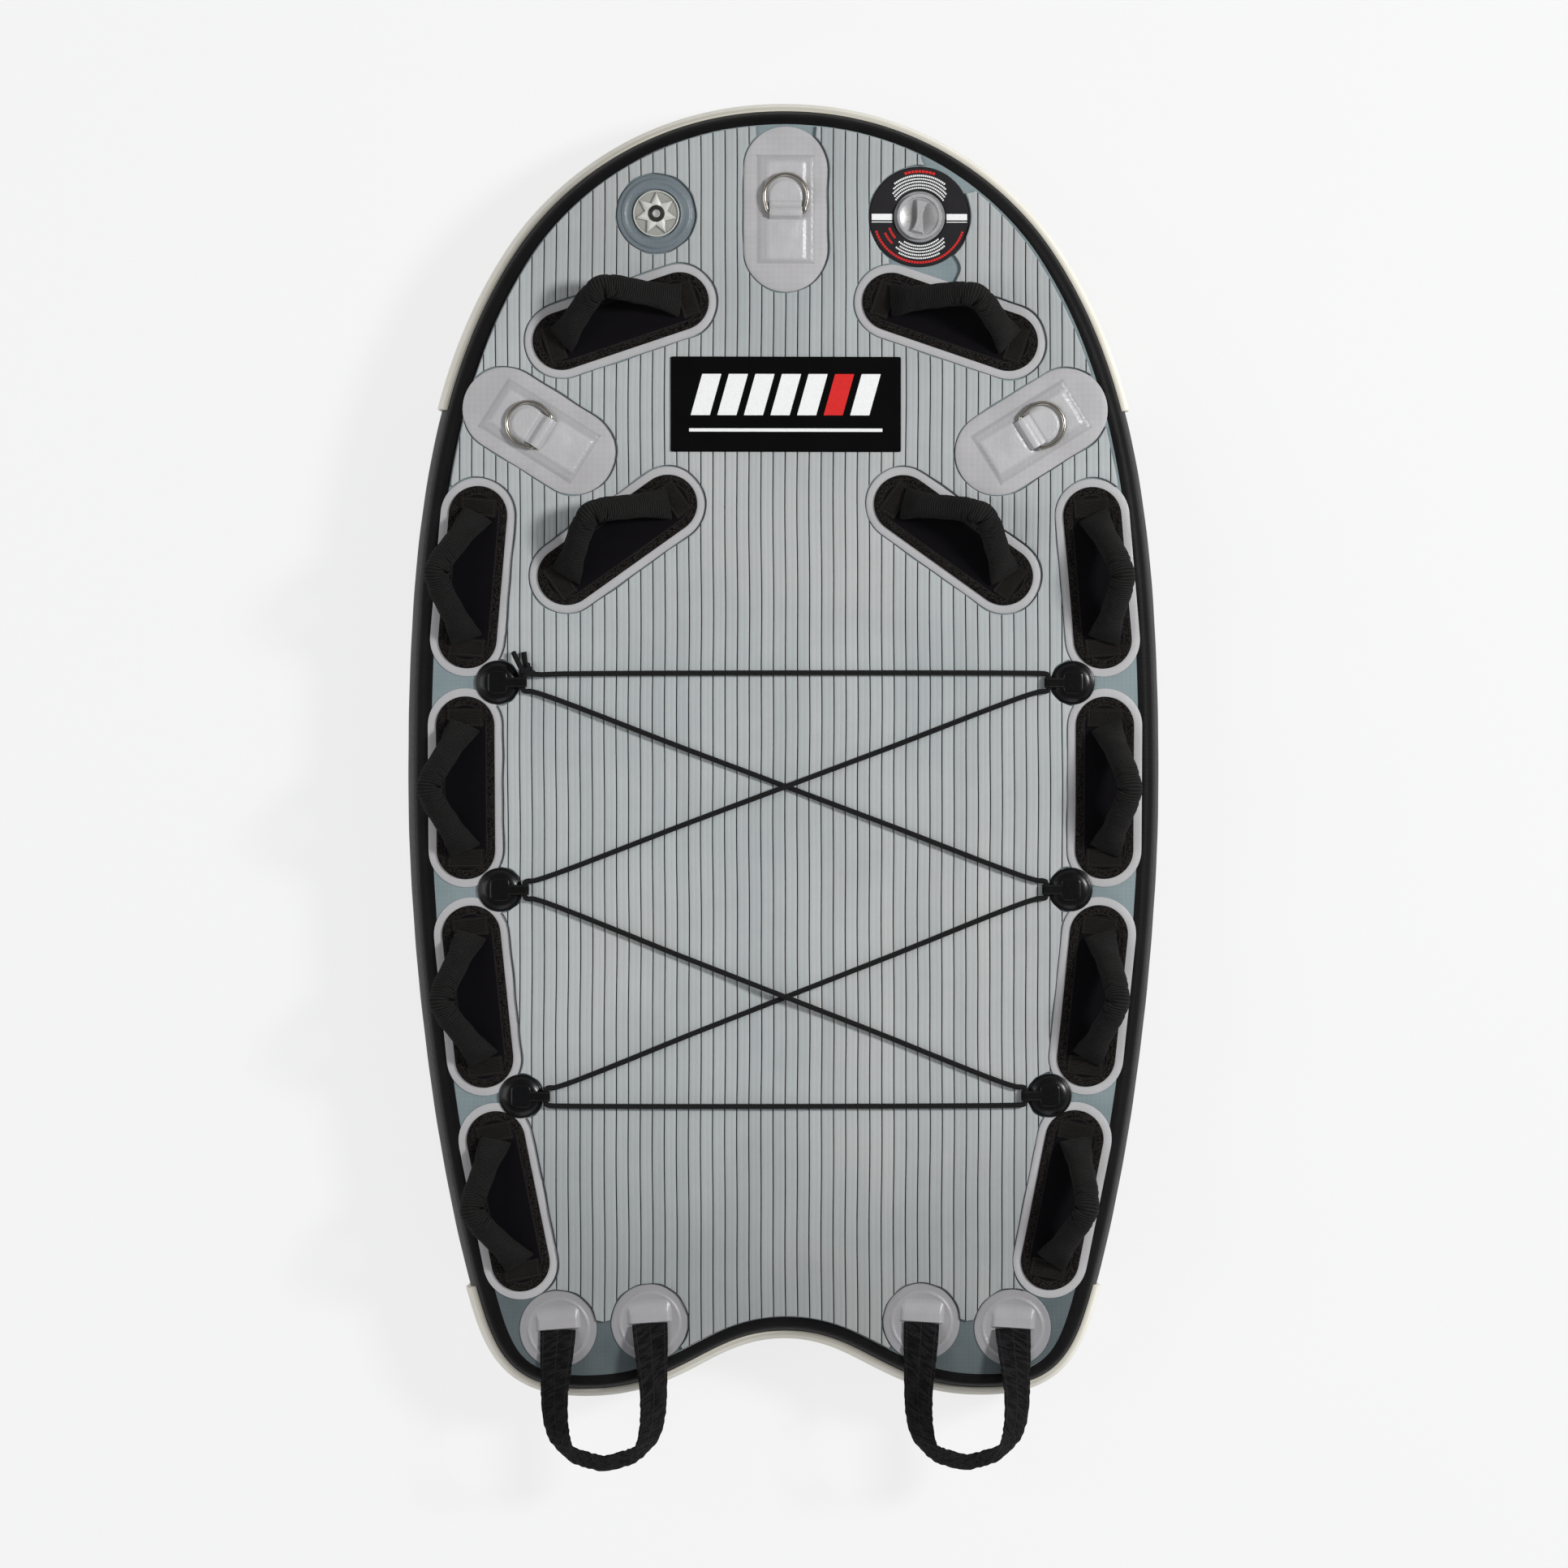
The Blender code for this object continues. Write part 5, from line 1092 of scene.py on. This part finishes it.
# The pebbled cloth has painted shade round the feet of the blocks and the keeper.
pebbled = coated_cloth("pebbled_pvc", (187, 186, 187), (176, 175, 176), 0.32, lattice=0.05, shine=0.5, pebbles=4.5,
                       shaded_foot=(PATCH_TOP + 0.0001, PATCH_TOP + 0.0030))
tow_cloth = coated_cloth("tow_patch_pvc", (183, 181, 182), (170, 168, 169), 0.38, lattice=0.175, weave=0.0112)
tow_levels = ((0.0, 0.0), (0.0, 0.0006), (0.0002, 0.0010), (0.0008, PATCH), (0.010, PATCH))
crown = RING_AXIS - PATCH_TOP + RING_WIRE + 0.0014
arch = [(-0.0095, 0.0004), (-0.0088, 0.0030), (-0.0072, 0.0042), (-0.0046, crown - 0.0010), (-0.0020, crown),
        (0.0024, crown), (0.0050, crown - 0.0012), (0.0078, 0.0046), (0.0102, 0.0036), (0.0142, 0.0034)]
arch = np.array(arch) - (RING_SET_BACK, 0)
for name, centre, turn in tow_places():
    rim, _ = slot_plate(TOW_STRAIGHT, TOW_WIDTH, tow_levels)
    patch = surface(carried(rim, centre, turn + 90, PATCH_BOTTOM))
    fitted(f"tow_plate_{name}", patch, tow_cloth, "grey_patch", f"tow_patch_{name}")
    block = carried_mesh(pressed_block(), centre, turn, PATCH_TOP - 0.0002)
    fitted(f"tow_block_{name}", block, pebbled, "grey_patch")
    keeper, keeper_weave = band(np.vstack([arch[:1], arch, arch[-1:]]), 0.0445, 0.0016, 28, 7.0)
    keeper = carried(carried(keeper, (0, 0), 90), centre, turn, PATCH_TOP)
    fitted(f"ring_keeper_{name}", surface(keeper, keeper_weave), pebbled, "grey_patch")
    ring, _ = rod(ring_line() - (0, RING_SET_BACK, 0), RING_WIRE, 16, closed=True)
    ring = surface(carried(ring, centre, turn, RING_AXIS))
    fitted(f"d_ring_{name}", ring, steel, "stainless_steel", f"tow_ring_{name}", body=f"tow_ring_{name}")


# Cord deck. Six glossy moulded domes are glued down, each with a webbing eye sewn in under its hump. One black
# braided bungee is laced through the eyes, and its two ends are knotted beside the front left one.
PAD_CLEAR = PAD_TOP + GAP
CORD_RADIUS = 0.0035
EYE_REACH = 0.034
EYE_RADIUS = 0.0040
EYE_AXIS = PAD_CLEAR + 0.0018 + EYE_RADIUS
CORD_LEG_SPREAD = 0.0126
CORD_BEND = 0.0085
ANCHOR_RIM = 0.0015


def softened(profile, times=2):
    """A profile with its corners cut off: each step keeps the points a quarter and three quarters along."""
    profile = np.asarray(profile, float)
    for _ in range(times):
        near = profile[:-1] * 0.75 + profile[1:] * 0.25
        far = profile[:-1] * 0.25 + profile[1:] * 0.75
        inner = np.stack([near, far], 1).reshape(-1, profile.shape[1])
        profile = np.vstack([profile[:1], inner, profile[-1:]])
    return profile


gloss = grained("moulded_anchor", (6, 6, 7), (13, 13, 14), (300.0, 4.0, 0.7), (0.14, 0.20), 0.00006, (0.45, 0.8),
                Specular_IOR_Level=0.2, Coat_Weight=0.05, Coat_Roughness=0.1)
eye_webbing = black_cloth("eye_webbing", (10, 10, 10), (30, 29, 28), 0.0014, 0.0006, seams=(0.0052,))
shell = [(ANCHOR_RADIUS, 0), (ANCHOR_RADIUS, 0.0013), (0.0280, 0.0019), (0.0262, 0.0022), (0.0248, 0.0032),
         (0.0205, 0.0053), (0.0140, 0.0064), (0, 0.0067)]
dome_profile = softened([(0, 0), (0.0185, 0), (0.0185, ANCHOR_RIM), *(np.array(shell) + (0, ANCHOR_RIM))], 3)
angle = np.radians(np.linspace(112, -128, 21))[:, None]
loop = (EYE_REACH, EYE_AXIS - PATCH_BOTTOM) + 0.0049 * np.hstack([np.cos(angle), np.sin(angle)])
eye_line = np.vstack([[(0.006, 0.0088), (0.006, 0.0088), (0.013, 0.0094), (0.020, 0.0106), (0.026, 0.0136)], loop,
                      [(0.024, 0.0062), (0.014, 0.0070), (0.006, 0.0074), (0.006, 0.0074)]])
for name, centre, turn in anchor_places():
    dome = surface(turned(dome_profile, (*centre, PATCH_BOTTOM)))
    fitted(f"anchor_dome_{name}", dome, gloss, "moulded_anchor", f"cord_anchor_{name}")
    hump = soft_block(0.0275, 0.0305, 0.0062, 0.42, steps=21, around=64)
    hump = surface(carried(hump, centre, turn, PATCH_BOTTOM + 0.0042))
    fitted(f"anchor_hump_{name}", hump, gloss, "moulded_anchor")
    eye_strip, eye_weave = band(eye_line, 0.014, 0.0017)
    eye_strip = surface(carried(eye_strip, centre, turn, PATCH_BOTTOM), eye_weave)
    fitted(f"anchor_eye_{name}", eye_strip, eye_webbing, "webbing")


def smooth_line(points, steps=8):
    """A smooth line through every given point.

    It is a spline whose knots are the square roots of the gaps apart: each point of it is a mean of means of
    four neighbours, weighed by where it lies between their knots.
    """
    points = np.vstack([2 * points[0] - points[1], points, 2 * points[-1] - points[-2]])
    knots = travelled(points, 0.5)
    a, b, c, d = (points[i:len(points) - 3 + i, None] for i in range(4))
    ta, tb, tc, td = (knots[i:len(knots) - 3 + i, None, None] for i in range(4))
    t = tb + (tc - tb) * np.linspace(0, 1, steps, endpoint=False)[None, :, None]
    ab = ((tb - t) * a + (t - ta) * b) / (tb - ta)
    bc = ((tc - t) * b + (t - tb) * c) / (tc - tb)
    cd = ((td - t) * c + (t - tc) * d) / (td - tc)
    abc = ((tc - t) * ab + (t - ta) * bc) / (tc - ta)
    bcd = ((td - t) * bc + (t - tb) * cd) / (td - tb)
    return np.vstack([(((tc - t) * abc + (t - tb) * bcd) / (tc - tb)).reshape(-1, 3), points[-2:-1]])


def through_eye(eye, down):
    """The cord's points through one eye: in round a bend, straight along Y, and out round another bend."""
    x, y, side = eye
    inboard = np.array((1.6, 0.55, 0.14, 0.0)) * CORD_BEND * -side
    spread = CORD_LEG_SPREAD - np.array((0.0, 0.0006, CORD_BEND * 0.22, CORD_BEND * 0.55))
    travel = -1 if down else 1
    bends = [np.column_stack([x + inboard, y + end * spread, np.full(4, EYE_AXIS)]) for end in (-travel, travel)]
    return np.vstack([bends[0], (x, y, EYE_AXIS), bends[1][::-1]])


def cord_line():
    """The lacing from one free end, through the knot and all six eyes, back to the knot and the other end."""
    eyes = {name: (x - math.copysign(EYE_REACH, x), y, math.copysign(1, x)) for name, (x, y), _ in anchor_places()}
    low = PAD_CLEAR + CORD_RADIUS - EYE_AXIS
    high = low + 2 * CORD_RADIUS + 0.0008
    x, y, _ = eyes["front_left"]
    knot = np.array((x + 0.0050, y + CORD_LEG_SPREAD - 0.002, PAD_CLEAR + 0.0073))
    upper = 0.0038
    route = [knot + [(-0.0175, 0.0300, 0), (-0.0130, 0.0205, upper), (-0.0065, 0.0085, upper),
                     (0.003, 0.0018, upper), (0.018, 0, upper * 0.7), (0.050, 0.0010, 0)]]
    for name, down, lift in (("front_right", True, None), ("middle_left", True, high), ("rear_right", True, high),
                             ("rear_left", False, None), ("middle_right", False, low), ("front_left", False, low)):
        points = through_eye(eyes[name], down)
        if lift is not None:
            share = np.array((0.3, 0.42, 0.475, 0.525, 0.58, 0.7))[:, None]
            rise = np.array((0.0, 0.4, 1.0, 1.0, 0.4, 0.0))[:, None] * (0, 0, lift)
            route.append(route[-1][-1] + (points[0] - route[-1][-1]) * share + rise)
        route.append(points)
    route[-1] = route[-1][:-4]
    route.append([(x, y + 0.0049, EYE_AXIS), (x, y + 0.0087, EYE_AXIS)])
    route.append(knot + [(-0.0045, 0.0015, -upper * 0.8), (-0.0008, 0.0070, -upper), (-0.0016, 0.016, -upper),
                         (-0.0034, 0.0305, -upper)])
    return np.vstack(route), knot


braid, place = new_finish("bungee_braid", Specular_IOR_Level=0.15)
along, across, _ = split(place.node.outputs["UV"])
one, two = (reckon("SINE", scaled(reckon(way, along, across), math.tau / 0.0036)) for way in ("ADD", "SUBTRACT"))
lace = scaled(one, two)
lint = noise(place, 500.0, 3.0, 0.7)
tone = mixed(scaled(lint, 0.4, ramp(lace, -0.6, 0.8, 0.0, 0.6)), (9, 9, 9), (38, 38, 38))
dress(braid, tone, scaled(lint, 0.2, 0.55), lace, 0.0006)

route, knot = cord_line()
lacing, lacing_weave = rod(smooth_line(route), CORD_RADIUS, 12)
fitted("laced_bungee", surface(lacing, lacing_weave), braid, "bungee", "bungee_cord", crease=70.0)
wind = np.linspace(0, 1, 61)
spin = np.radians(-70 + 800 * wind)
tie_along = np.array((-0.55, 0.83, 0.0))
tie_beside = np.array((0.83, 0.55, 0.0))
coil = knot + (0.000, 0.0045, 0.0004) + (wind - 0.55)[:, None] * 0.0135 * tie_along
coil = coil + 0.0070 * (np.cos(spin)[:, None] * tie_beside + np.sin(spin)[:, None] * np.array((0, 0, 0.66)))
tie, tie_weave = rod(coil, 0.0031, 12)
fitted("bungee_knot", surface(tie, tie_weave), braid, "bungee", crease=70.0)


# Tail straps. Two loops of doubled, edge-stitched webbing hang over the stern. Each end goes under a hump of a
# round PVC patch welded to the deck.
STRAP_WIDTH = 0.048
STRAP = 0.0035
STRAP_LEG = 0.086
STRAP_LEG_SHARE = 0.42
STRAP_REACH = 0.1825
STRAP_RISE = 0.0155
STRAP_DROP = 0.024
STRAP_SEAM = 0.0195
STRAP_AXIS = PATCH_TOP + 0.005 + GAP


def strap_line(count):
    """The middle of the webbing from one mouth to the other, drawn from halfway between them, and how far each
    point is on its way to the loop's end.

    Both legs run straight, and the end is a squarish ellipse with a slight point. The height is a parabola that
    rises out of the mouths, less the cube of the share travelled.
    """
    share = np.linspace(-1, 1, count)
    travel = 1 - np.abs(share)
    bend = np.clip((travel - STRAP_LEG_SHARE) / (1 - STRAP_LEG_SHARE), 0, 1) * math.pi / 2
    leg = np.clip(travel / STRAP_LEG_SHARE, 0, 1)
    half, slant = (OUTER_STRAP - INNER_STRAP) * (0.5, -0.5)
    side = np.sign(share)
    x = side * (half + 0.005 * leg) * np.cos(bend) ** 0.66
    y = -STRAP_LEG * leg - (STRAP_REACH - STRAP_LEG) * np.sin(bend) ** 0.66 + side * slant * (1 - leg)
    y -= 0.0040 * np.exp(-(x / 0.020) ** 2) * bend
    z = 4 * STRAP_RISE * travel * (1 - travel) - STRAP_DROP * travel**3 - STRAP / 2
    return np.column_stack([x, y, z]), travel[:, None]


def strap_webbing():
    """The loop's rings and weave. The webbing tilts more and more towards the loop's end, and most at its corners.

    Its section is a flat superellipse, thicker along the stitched edges. Shallow folds run aslant across it.
    """
    centre, travel = strap_line(241)
    ahead = unit(np.gradient(centre, axis=0))
    outward = np.column_stack([ahead[:, 1], -ahead[:, 0], np.zeros(len(centre))])
    mouths = (centre[-1:] - centre[:1]) * (1, 1, 0)
    near = np.clip(1 - travel / 0.03, 0, 1)
    outward = unit(outward * (1 - near) + near * np.sign(centre[:, :1]) * unit(mouths))
    tilt = 59 * np.sin(travel * math.pi / 2) ** 0.75 + 9 * np.exp(-((travel - 0.74) / 0.09) ** 2)
    tilt = np.radians(tilt)
    across = outward * np.cos(tilt) - (0, 0, 1) * np.sin(tilt)
    normal = unit(np.cross(across, ahead))
    run = travelled(centre)[:, None]
    turn = once_round(56)
    size = squarish(turn, 5)
    side = np.clip(size * np.cos(turn), -1, 1) * STRAP_WIDTH / 2
    seam = np.exp(-((np.abs(side) - STRAP_SEAM) / 0.0012) ** 2) + 0.8 * np.exp(-(side / 0.0014) ** 2)
    thick = np.clip(size * np.sin(turn), -1, 1) * (STRAP / 2 - 0.00045 * seam)
    fold = np.sin(run * 560 + side * 210) * np.sin(run * 47 + 1) + 0.7 * np.sin(run * 310 - side * 260)
    fold *= 0.00055 * np.clip(travel * 8, 0, 1)
    ends = pinched(len(centre))
    grid = centre[:, None] + (ends * side)[:, :, None] * across[:, None]
    grid = grid + (ends * (thick + fold))[:, :, None] * normal[:, None]
    return grid, gridded(run, side)


def mouth_hump():
    """The patch pressed over the strap's sewn end: steep at the mouth, and sloping off at the back and sides."""
    x = np.linspace(-0.034, 0.034, 61)[None, :]
    y = np.linspace(-0.002, 0.038, 45)[:, None]
    front = np.clip((y + 0.0016) / 0.0022, 0, 1) ** 0.5
    back = np.clip((0.037 - y) / 0.026, 0, 1)
    dome = 0.86 + 0.14 * np.cos(x / 0.026 * math.pi / 2)
    height = 0.0002 + 0.0056 * dome * within(x, 0.0325, 0.0090) * front * back * back * (3 - 2 * back)
    return surface(slab(gridded(x, y, height), 0.0))


strap_cloth = black_cloth("strap_webbing", (9, 8, 9), (40, 38, 39), 0.0021, 0.0007, puckers=3.0,
                          seams=(STRAP_SEAM, 0.0))
# The strap patches' cloth has painted shade round the feet of the humps and the raised ring.
weld_cloth = coated_cloth("strap_patch_pvc", (166, 164, 166), (156, 154, 156), 0.32, lattice=0.05, shine=0.45,
                          shaded_foot=(PATCH_TOP - 0.0004, PATCH_TOP + 0.0036))
skew = math.degrees(math.atan2(INNER_STRAP[1] - OUTER_STRAP[1], OUTER_STRAP[0] - INNER_STRAP[0]))
disc_rim = softened([(0, 0), (STRAP_PATCH_RADIUS, 0), (STRAP_PATCH_RADIUS, PATCH), (0.0500, 0.0013),
                     (0.0428, 0.0013), (0.0412, 0.0027), (0.0392, 0.0027), (0.0368, 0.0017), (0, 0.0017)])
for word, side in SIDES:
    for part, (x, y) in (("outer", OUTER_STRAP), ("inner", INNER_STRAP)):
        disc = surface(turned(disc_rim, (side * x, y, PATCH_BOTTOM)))
        fitted(f"strap_disc_{word}_{part}", disc, weld_cloth, "grey_patch", f"strap_patch_{word}_{part}")
        hump = carried_mesh(mouth_hump(), (side * x, y), -side * skew, PATCH_TOP - 0.0002)
        fitted(f"strap_hump_{word}_{part}", hump, weld_cloth, "grey_patch")
    middle = (OUTER_STRAP + INNER_STRAP) / 2 * (side, 1)
    loop, loop_weave = strap_webbing()
    loop = surface(loop * (-side, 1, 1) + (*middle, STRAP_AXIS), loop_weave)
    strap = shown(f"strap_loop_{word}", loop, strap_cloth, crease=60.0)
    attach(strap, f"tail_strap_{word}")
    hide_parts(f"tail_strap_{word}")


# Pressure relief valve. A welded rubber boot with a raised ring holds a moulded body, whose seven-pointed guard
# stands round a well. A sprung button at the bottom of the well lets air out.
FLANGE_RADIUS = 0.0312
STAR_TIP = 0.0292
STAR_VALLEY = 0.0158
STAR_POINTS = 7


def faced(turn, before, radius, face, after):
    """A worked face between plain rings of radius and height, as one surface once round an upright axis."""
    inner, outer = (np.reshape(rows, (-1, 2, 1)).transpose(1, 0, 2) + 0 * turn for rows in (before, after))
    radius = np.vstack([inner[0], radius + 0 * turn, outer[0]])
    return gridded(radius * np.cos(turn), radius * np.sin(turn), np.vstack([inner[1], face, outer[1]]))


def guard_face():
    """The body once round: bore, well, star, pockets, rim and barrel.

    The star's edge is a straight line from tip to valley, written in polar form. Inside it the face rises at
    once by a step, and then slowly to a ridge along each arm.
    """
    turn = once_round(STAR_POINTS * 28)
    half = math.pi / STAR_POINTS
    from_tip = half - np.abs((turn / (2 * half) + 0.25) % 1 - 0.5) * 2 * half
    edge = STAR_TIP * STAR_VALLEY * math.sin(half) / (
        STAR_VALLEY * np.sin(half - from_tip) + STAR_TIP * np.sin(from_tip))
    radius = np.linspace(0.0116, 0.0298, 44)[:, None]
    inside = np.clip((edge - radius) / 0.0007, 0, 1)
    ridge = np.clip((edge - radius) / 0.006, 0, 1) * (1 - 0.5 * from_tip / half)
    face = 0.0018 + 0.0026 * inside + 0.0020 * inside * ridge
    face = np.maximum(face, 0.0044 * within(radius - 0.0116, 0.0014, 0.0006))
    face = np.maximum(face, 0.0042 * within(radius - 0.0306, 0.0016, 0.0006))
    before = [(0.003, -0.038), (0.003, -0.016), (0.0108, -0.016), (0.0113, -0.0156), (0.0113, 0.0040)]
    after = [(0.0304, 0.0042), (0.0309, 0.0040), (FLANGE_RADIUS, 0.0035), (FLANGE_RADIUS, 0.0),
             (BARREL_RADIUS, 0.0), (BARREL_RADIUS, -0.038), (0.003, -0.038)]
    return faced(turn, before, radius, face, after)


def moulded_plastic(name, colour, shade, roughness, grain=260.0, metallic=0.0, shade_levels=None):
    """Moulded plastic with a fine spark-eroded grain, cloudy handling marks and a worn, uneven gloss.

    Where a low and a high level are given, painted shade darkens what lies lower, and what lies higher keeps its
    colour.
    """
    made, place = new_finish(name, Specular_IOR_Level=0.45, Metallic=metallic)
    marks = noise(place, grain / 3, 5.0, 0.65)
    tone = mixed(ramp(marks, 0.3, 0.7), shade, colour)
    # Painted shade: what lies lower is darkened.
    if shade_levels:
        tone = painted_low_shade(place, tone, shade_levels, 0.6, (104, 104, 99))
    dress(made, tone, scaled(marks, 0.12, roughness - 0.06), noise(place, grain * 4, 3.0, 0.7), 0.0001)
    return made


boot_rubber = coated_cloth("valve_boot_pvc", (114, 124, 129), (100, 110, 115), 0.34)
boot = softened([(0.0330, 0.0), (RELIEF_BOOT_RADIUS, 0.0), (RELIEF_BOOT_RADIUS, 0.0009), (0.0522, 0.0014),
                 (0.0482, 0.0015), (0.0466, 0.0034), (0.0440, 0.0040), (0.0414, 0.0033), (0.0400, 0.0022),
                 (0.0350, 0.0021), (0.0338, 0.0036), (0.0332, 0.0030), (0.0330, 0.0)])
seat = (*RELIEF_CENTRE, PATCH_BOTTOM)
fitted("relief_boot", surface(turned(boot, seat, 128)), boot_rubber, "pvc_skin", "relief_valve_boot")
# The guard has painted shade in the pockets between the star's arms and down the well.
guard_plastic = moulded_plastic("guard_plastic", (206, 206, 199), (194, 194, 187), 0.34,
                                shade_levels=(PATCH_BOTTOM + 0.0019, PATCH_BOTTOM + 0.0042))
guard = surface(guard_face() + np.array(seat))
fitted("relief_guard", guard, guard_plastic, "valve_plastic", "relief_valve_body", crease=30.0)
pin_plastic = moulded_plastic("pin_plastic", (178, 178, 176), (150, 150, 148), 0.30)
pin = softened([(0, -0.041), (0.0025, -0.041), (0.0025, 0.0036), (0.0052, 0.0036), (0.0055, 0.0044),
                (0.0051, 0.0057), (0.0034, 0.0059), (0.0024, 0.0050), (0, 0.0049)])
pin = surface(turned(pin, seat, 48))
fitted("relief_button", pin, pin_plastic, "valve_stem", "relief_valve_stem", body="relief_valve_stem", crease=30.0)


# Inflation valve. A round black printed disc is glued round a moulded body. A quarter-turn cap with a waisted
# grip closes it, over a sprung stem. The disc's print is left plain: scale ticks, two bars and red arcs.
CAP_TURN = 75.0
CAP_RADIUS = 0.0310
PLUG_RADIUS = 0.0117
PLUG_DEPTH = 0.0069
LABEL_BORE = 0.0348
PRINT = 0.0002


def ticks(centre, low, high, start, end, count, share, lift):
    """A ring of thin flat marks between two radii, spread evenly from one angle to another, in degrees.

    Each mark has two layers of two by four points in polar form. The points of a layer are counted along the
    smaller radius and then along the larger one, and the faces join them to a closed block, as seen from outside.
    """
    first = np.radians(np.linspace(start, end, count, endpoint=False))[:, None, None, None]
    step = math.radians(abs(end - start)) / count * share
    angle = first + np.linspace(0, step, 4)
    radius = np.array((low, high))[:, None]
    height = lift + np.array((0, PRINT))[:, None, None]
    corners = gridded(centre[0] + radius * np.cos(angle), centre[1] + radius * np.sin(angle), height)
    block = [(0, 4, 12, 8), (3, 11, 15, 7)]
    for i in range(3):
        block += [(i + 8, i + 12, i + 13, i + 9), (i, i + 1, i + 5, i + 4),
                  (i, i + 8, i + 9, i + 1), (i + 4, i + 5, i + 13, i + 12)]
    faces = np.array(block) + 16 * np.arange(count)[:, None, None]
    made = bpy.data.meshes.new("ticks")
    made.from_pydata(corners.reshape(-1, 3), [], faces.reshape(-1, 4))
    return made


def cap_face():
    """The cap once round: a raised rim, a dished face and the waisted grip across it, then the skirt and plug.

    The grip's half width grows from its waist with the square of the distance from the middle.
    """
    turn = once_round(144)
    radius = np.linspace(0.0, 0.0302, 64)[:, None]
    along = radius * np.cos(turn - math.radians(CAP_TURN))
    beside = radius * np.sin(turn - math.radians(CAP_TURN)) - 0.0022 * np.sin(along * 95)
    half = 0.0040 + 0.0045 * (along / 0.022) ** 2
    grip = within(beside, half + 0.0007, 0.0012) * within(along, 0.0225, 0.0020)
    rim = within(radius - 0.0284, 0.0030, 0.0012)
    dish = 0.0042 * np.clip(radius / 0.0265, 0, 1) ** 2 - 0.0006
    face = np.maximum(dish + (0.0060 - dish) * rim, dish + (0.0086 - dish) * grip)
    after = [(0.0306, 0.0040), (CAP_RADIUS, 0.0034), (CAP_RADIUS, 0.0), (PLUG_RADIUS, 0.0),
             (PLUG_RADIUS, -PLUG_DEPTH), (0.0, -PLUG_DEPTH)]
    return faced(turn, [], radius, face, after)


disc_rubber = grained("label_rubber", (27, 25, 27), (38, 36, 38), (600.0, 3.0, 0.7), (0.25, 0.40), 0.0002,
                      clouds=(40.0, 4.0), Specular_IOR_Level=0.15)
seat = (*INFLATION_CENTRE, PATCH_BOTTOM)
ring = softened([(LABEL_BORE, 0.0), (LABEL_RADIUS, 0.0), (LABEL_RADIUS, 0.0010), (0.0676, 0.0012),
                 (0.0354, 0.0012), (LABEL_BORE, 0.0009), (LABEL_BORE, 0.0)])
fitted("label_disc", surface(turned(ring, seat, 160)), disc_rubber, "label_disc", "inflation_valve_disc")

# Name, inner and outer radius, first and last angle, how many marks, and how much of each step a mark fills.
top = PATCH_BOTTOM + 0.0011
prints = (
    ("upper_red_arc", 0.0600, 0.0634, 70, 110, 9, 0.76),
    ("lower_red_arc", 0.0603, 0.0633, 198, 342, 40, 0.78),
    ("upper_ticks_1", 0.0548, 0.0574, 52, 128, 27, 0.72),
    ("upper_ticks_2", 0.0506, 0.0528, 46, 134, 31, 0.72),
    ("upper_ticks_3", 0.0465, 0.0487, 40, 140, 32, 0.72),
    ("upper_ticks_4", 0.0424, 0.0446, 38, 142, 30, 0.72),
    ("upper_ticks_5", 0.0384, 0.0405, 34, 146, 28, 0.72),
    ("lower_ticks_1", 0.0550, 0.0572, 240, 300, 21, 0.72),
    ("lower_ticks_2", 0.0508, 0.0530, 232, 312, 27, 0.72),
    ("lower_ticks_3", 0.0466, 0.0488, 236, 316, 25, 0.72),
    ("lower_ticks_4", 0.0424, 0.0446, 230, 320, 26, 0.72),
    ("lower_ticks_5", 0.0383, 0.0405, 238, 312, 19, 0.72),
    ("left_red_arc_1", 0.0420, 0.0450, 200, 222, 6, 0.74),
    ("left_red_arc_2", 0.0500, 0.0530, 205, 225, 7, 0.74),
)
for name, *places in prints:
    marks = ticks(INFLATION_CENTRE, *places, top)
    fitted(f"label_{name}", marks, inks["red" if "red" in name else "white"], "label_disc")
x, y = INFLATION_CENTRE
for word, side in SIDES:
    for shape, width, down in (("bar", 0.0085, 0.0002), ("line", 0.0012, 0.0070)):
        bar = carried(soft_block(0.0280, width, PRINT, 0.05), (x + side * 0.0508, y - down), height=top)
        fitted(f"label_{word}_{shape}", surface(bar), inks["white"], "label_disc")

body_plastic = moulded_plastic("valve_body_plastic", (150, 150, 151), (128, 128, 130), 0.38)
body = [(0.0045, -0.038), (0.0045, -0.019), (0.0125, -0.019), (0.0125, 0.0029), (0.0130, 0.0032), (0.0338, 0.0032),
        (0.0345, 0.0026), (0.0345, 0.0), (BARREL_RADIUS, 0.0), (BARREL_RADIUS, -0.038), (0.0045, -0.038)]
body = surface(turned(body, seat))
fitted("valve_body", body, body_plastic, "valve_plastic", "inflation_valve_body", crease=30.0)
# The cap has painted shade in its dish beside the grip and down its sides.
cap_plastic = moulded_plastic("cap_plastic", (186, 185, 186), (178, 177, 178), 0.28, metallic=0.3,
                              shade_levels=(PATCH_BOTTOM + 0.0030, PATCH_BOTTOM + 0.0078))
cap = surface(cap_face() + np.array(seat) + (0, 0, 0.0033))
fitted("valve_cap", cap, cap_plastic, "valve_cap", "inflation_valve_cap", body="inflation_valve_cap", crease=30.0)
stem_plastic = moulded_plastic("stem_plastic", (186, 186, 184), (166, 166, 164), 0.4)
coat(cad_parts["inflation_valve_stem"].data, stem_plastic)
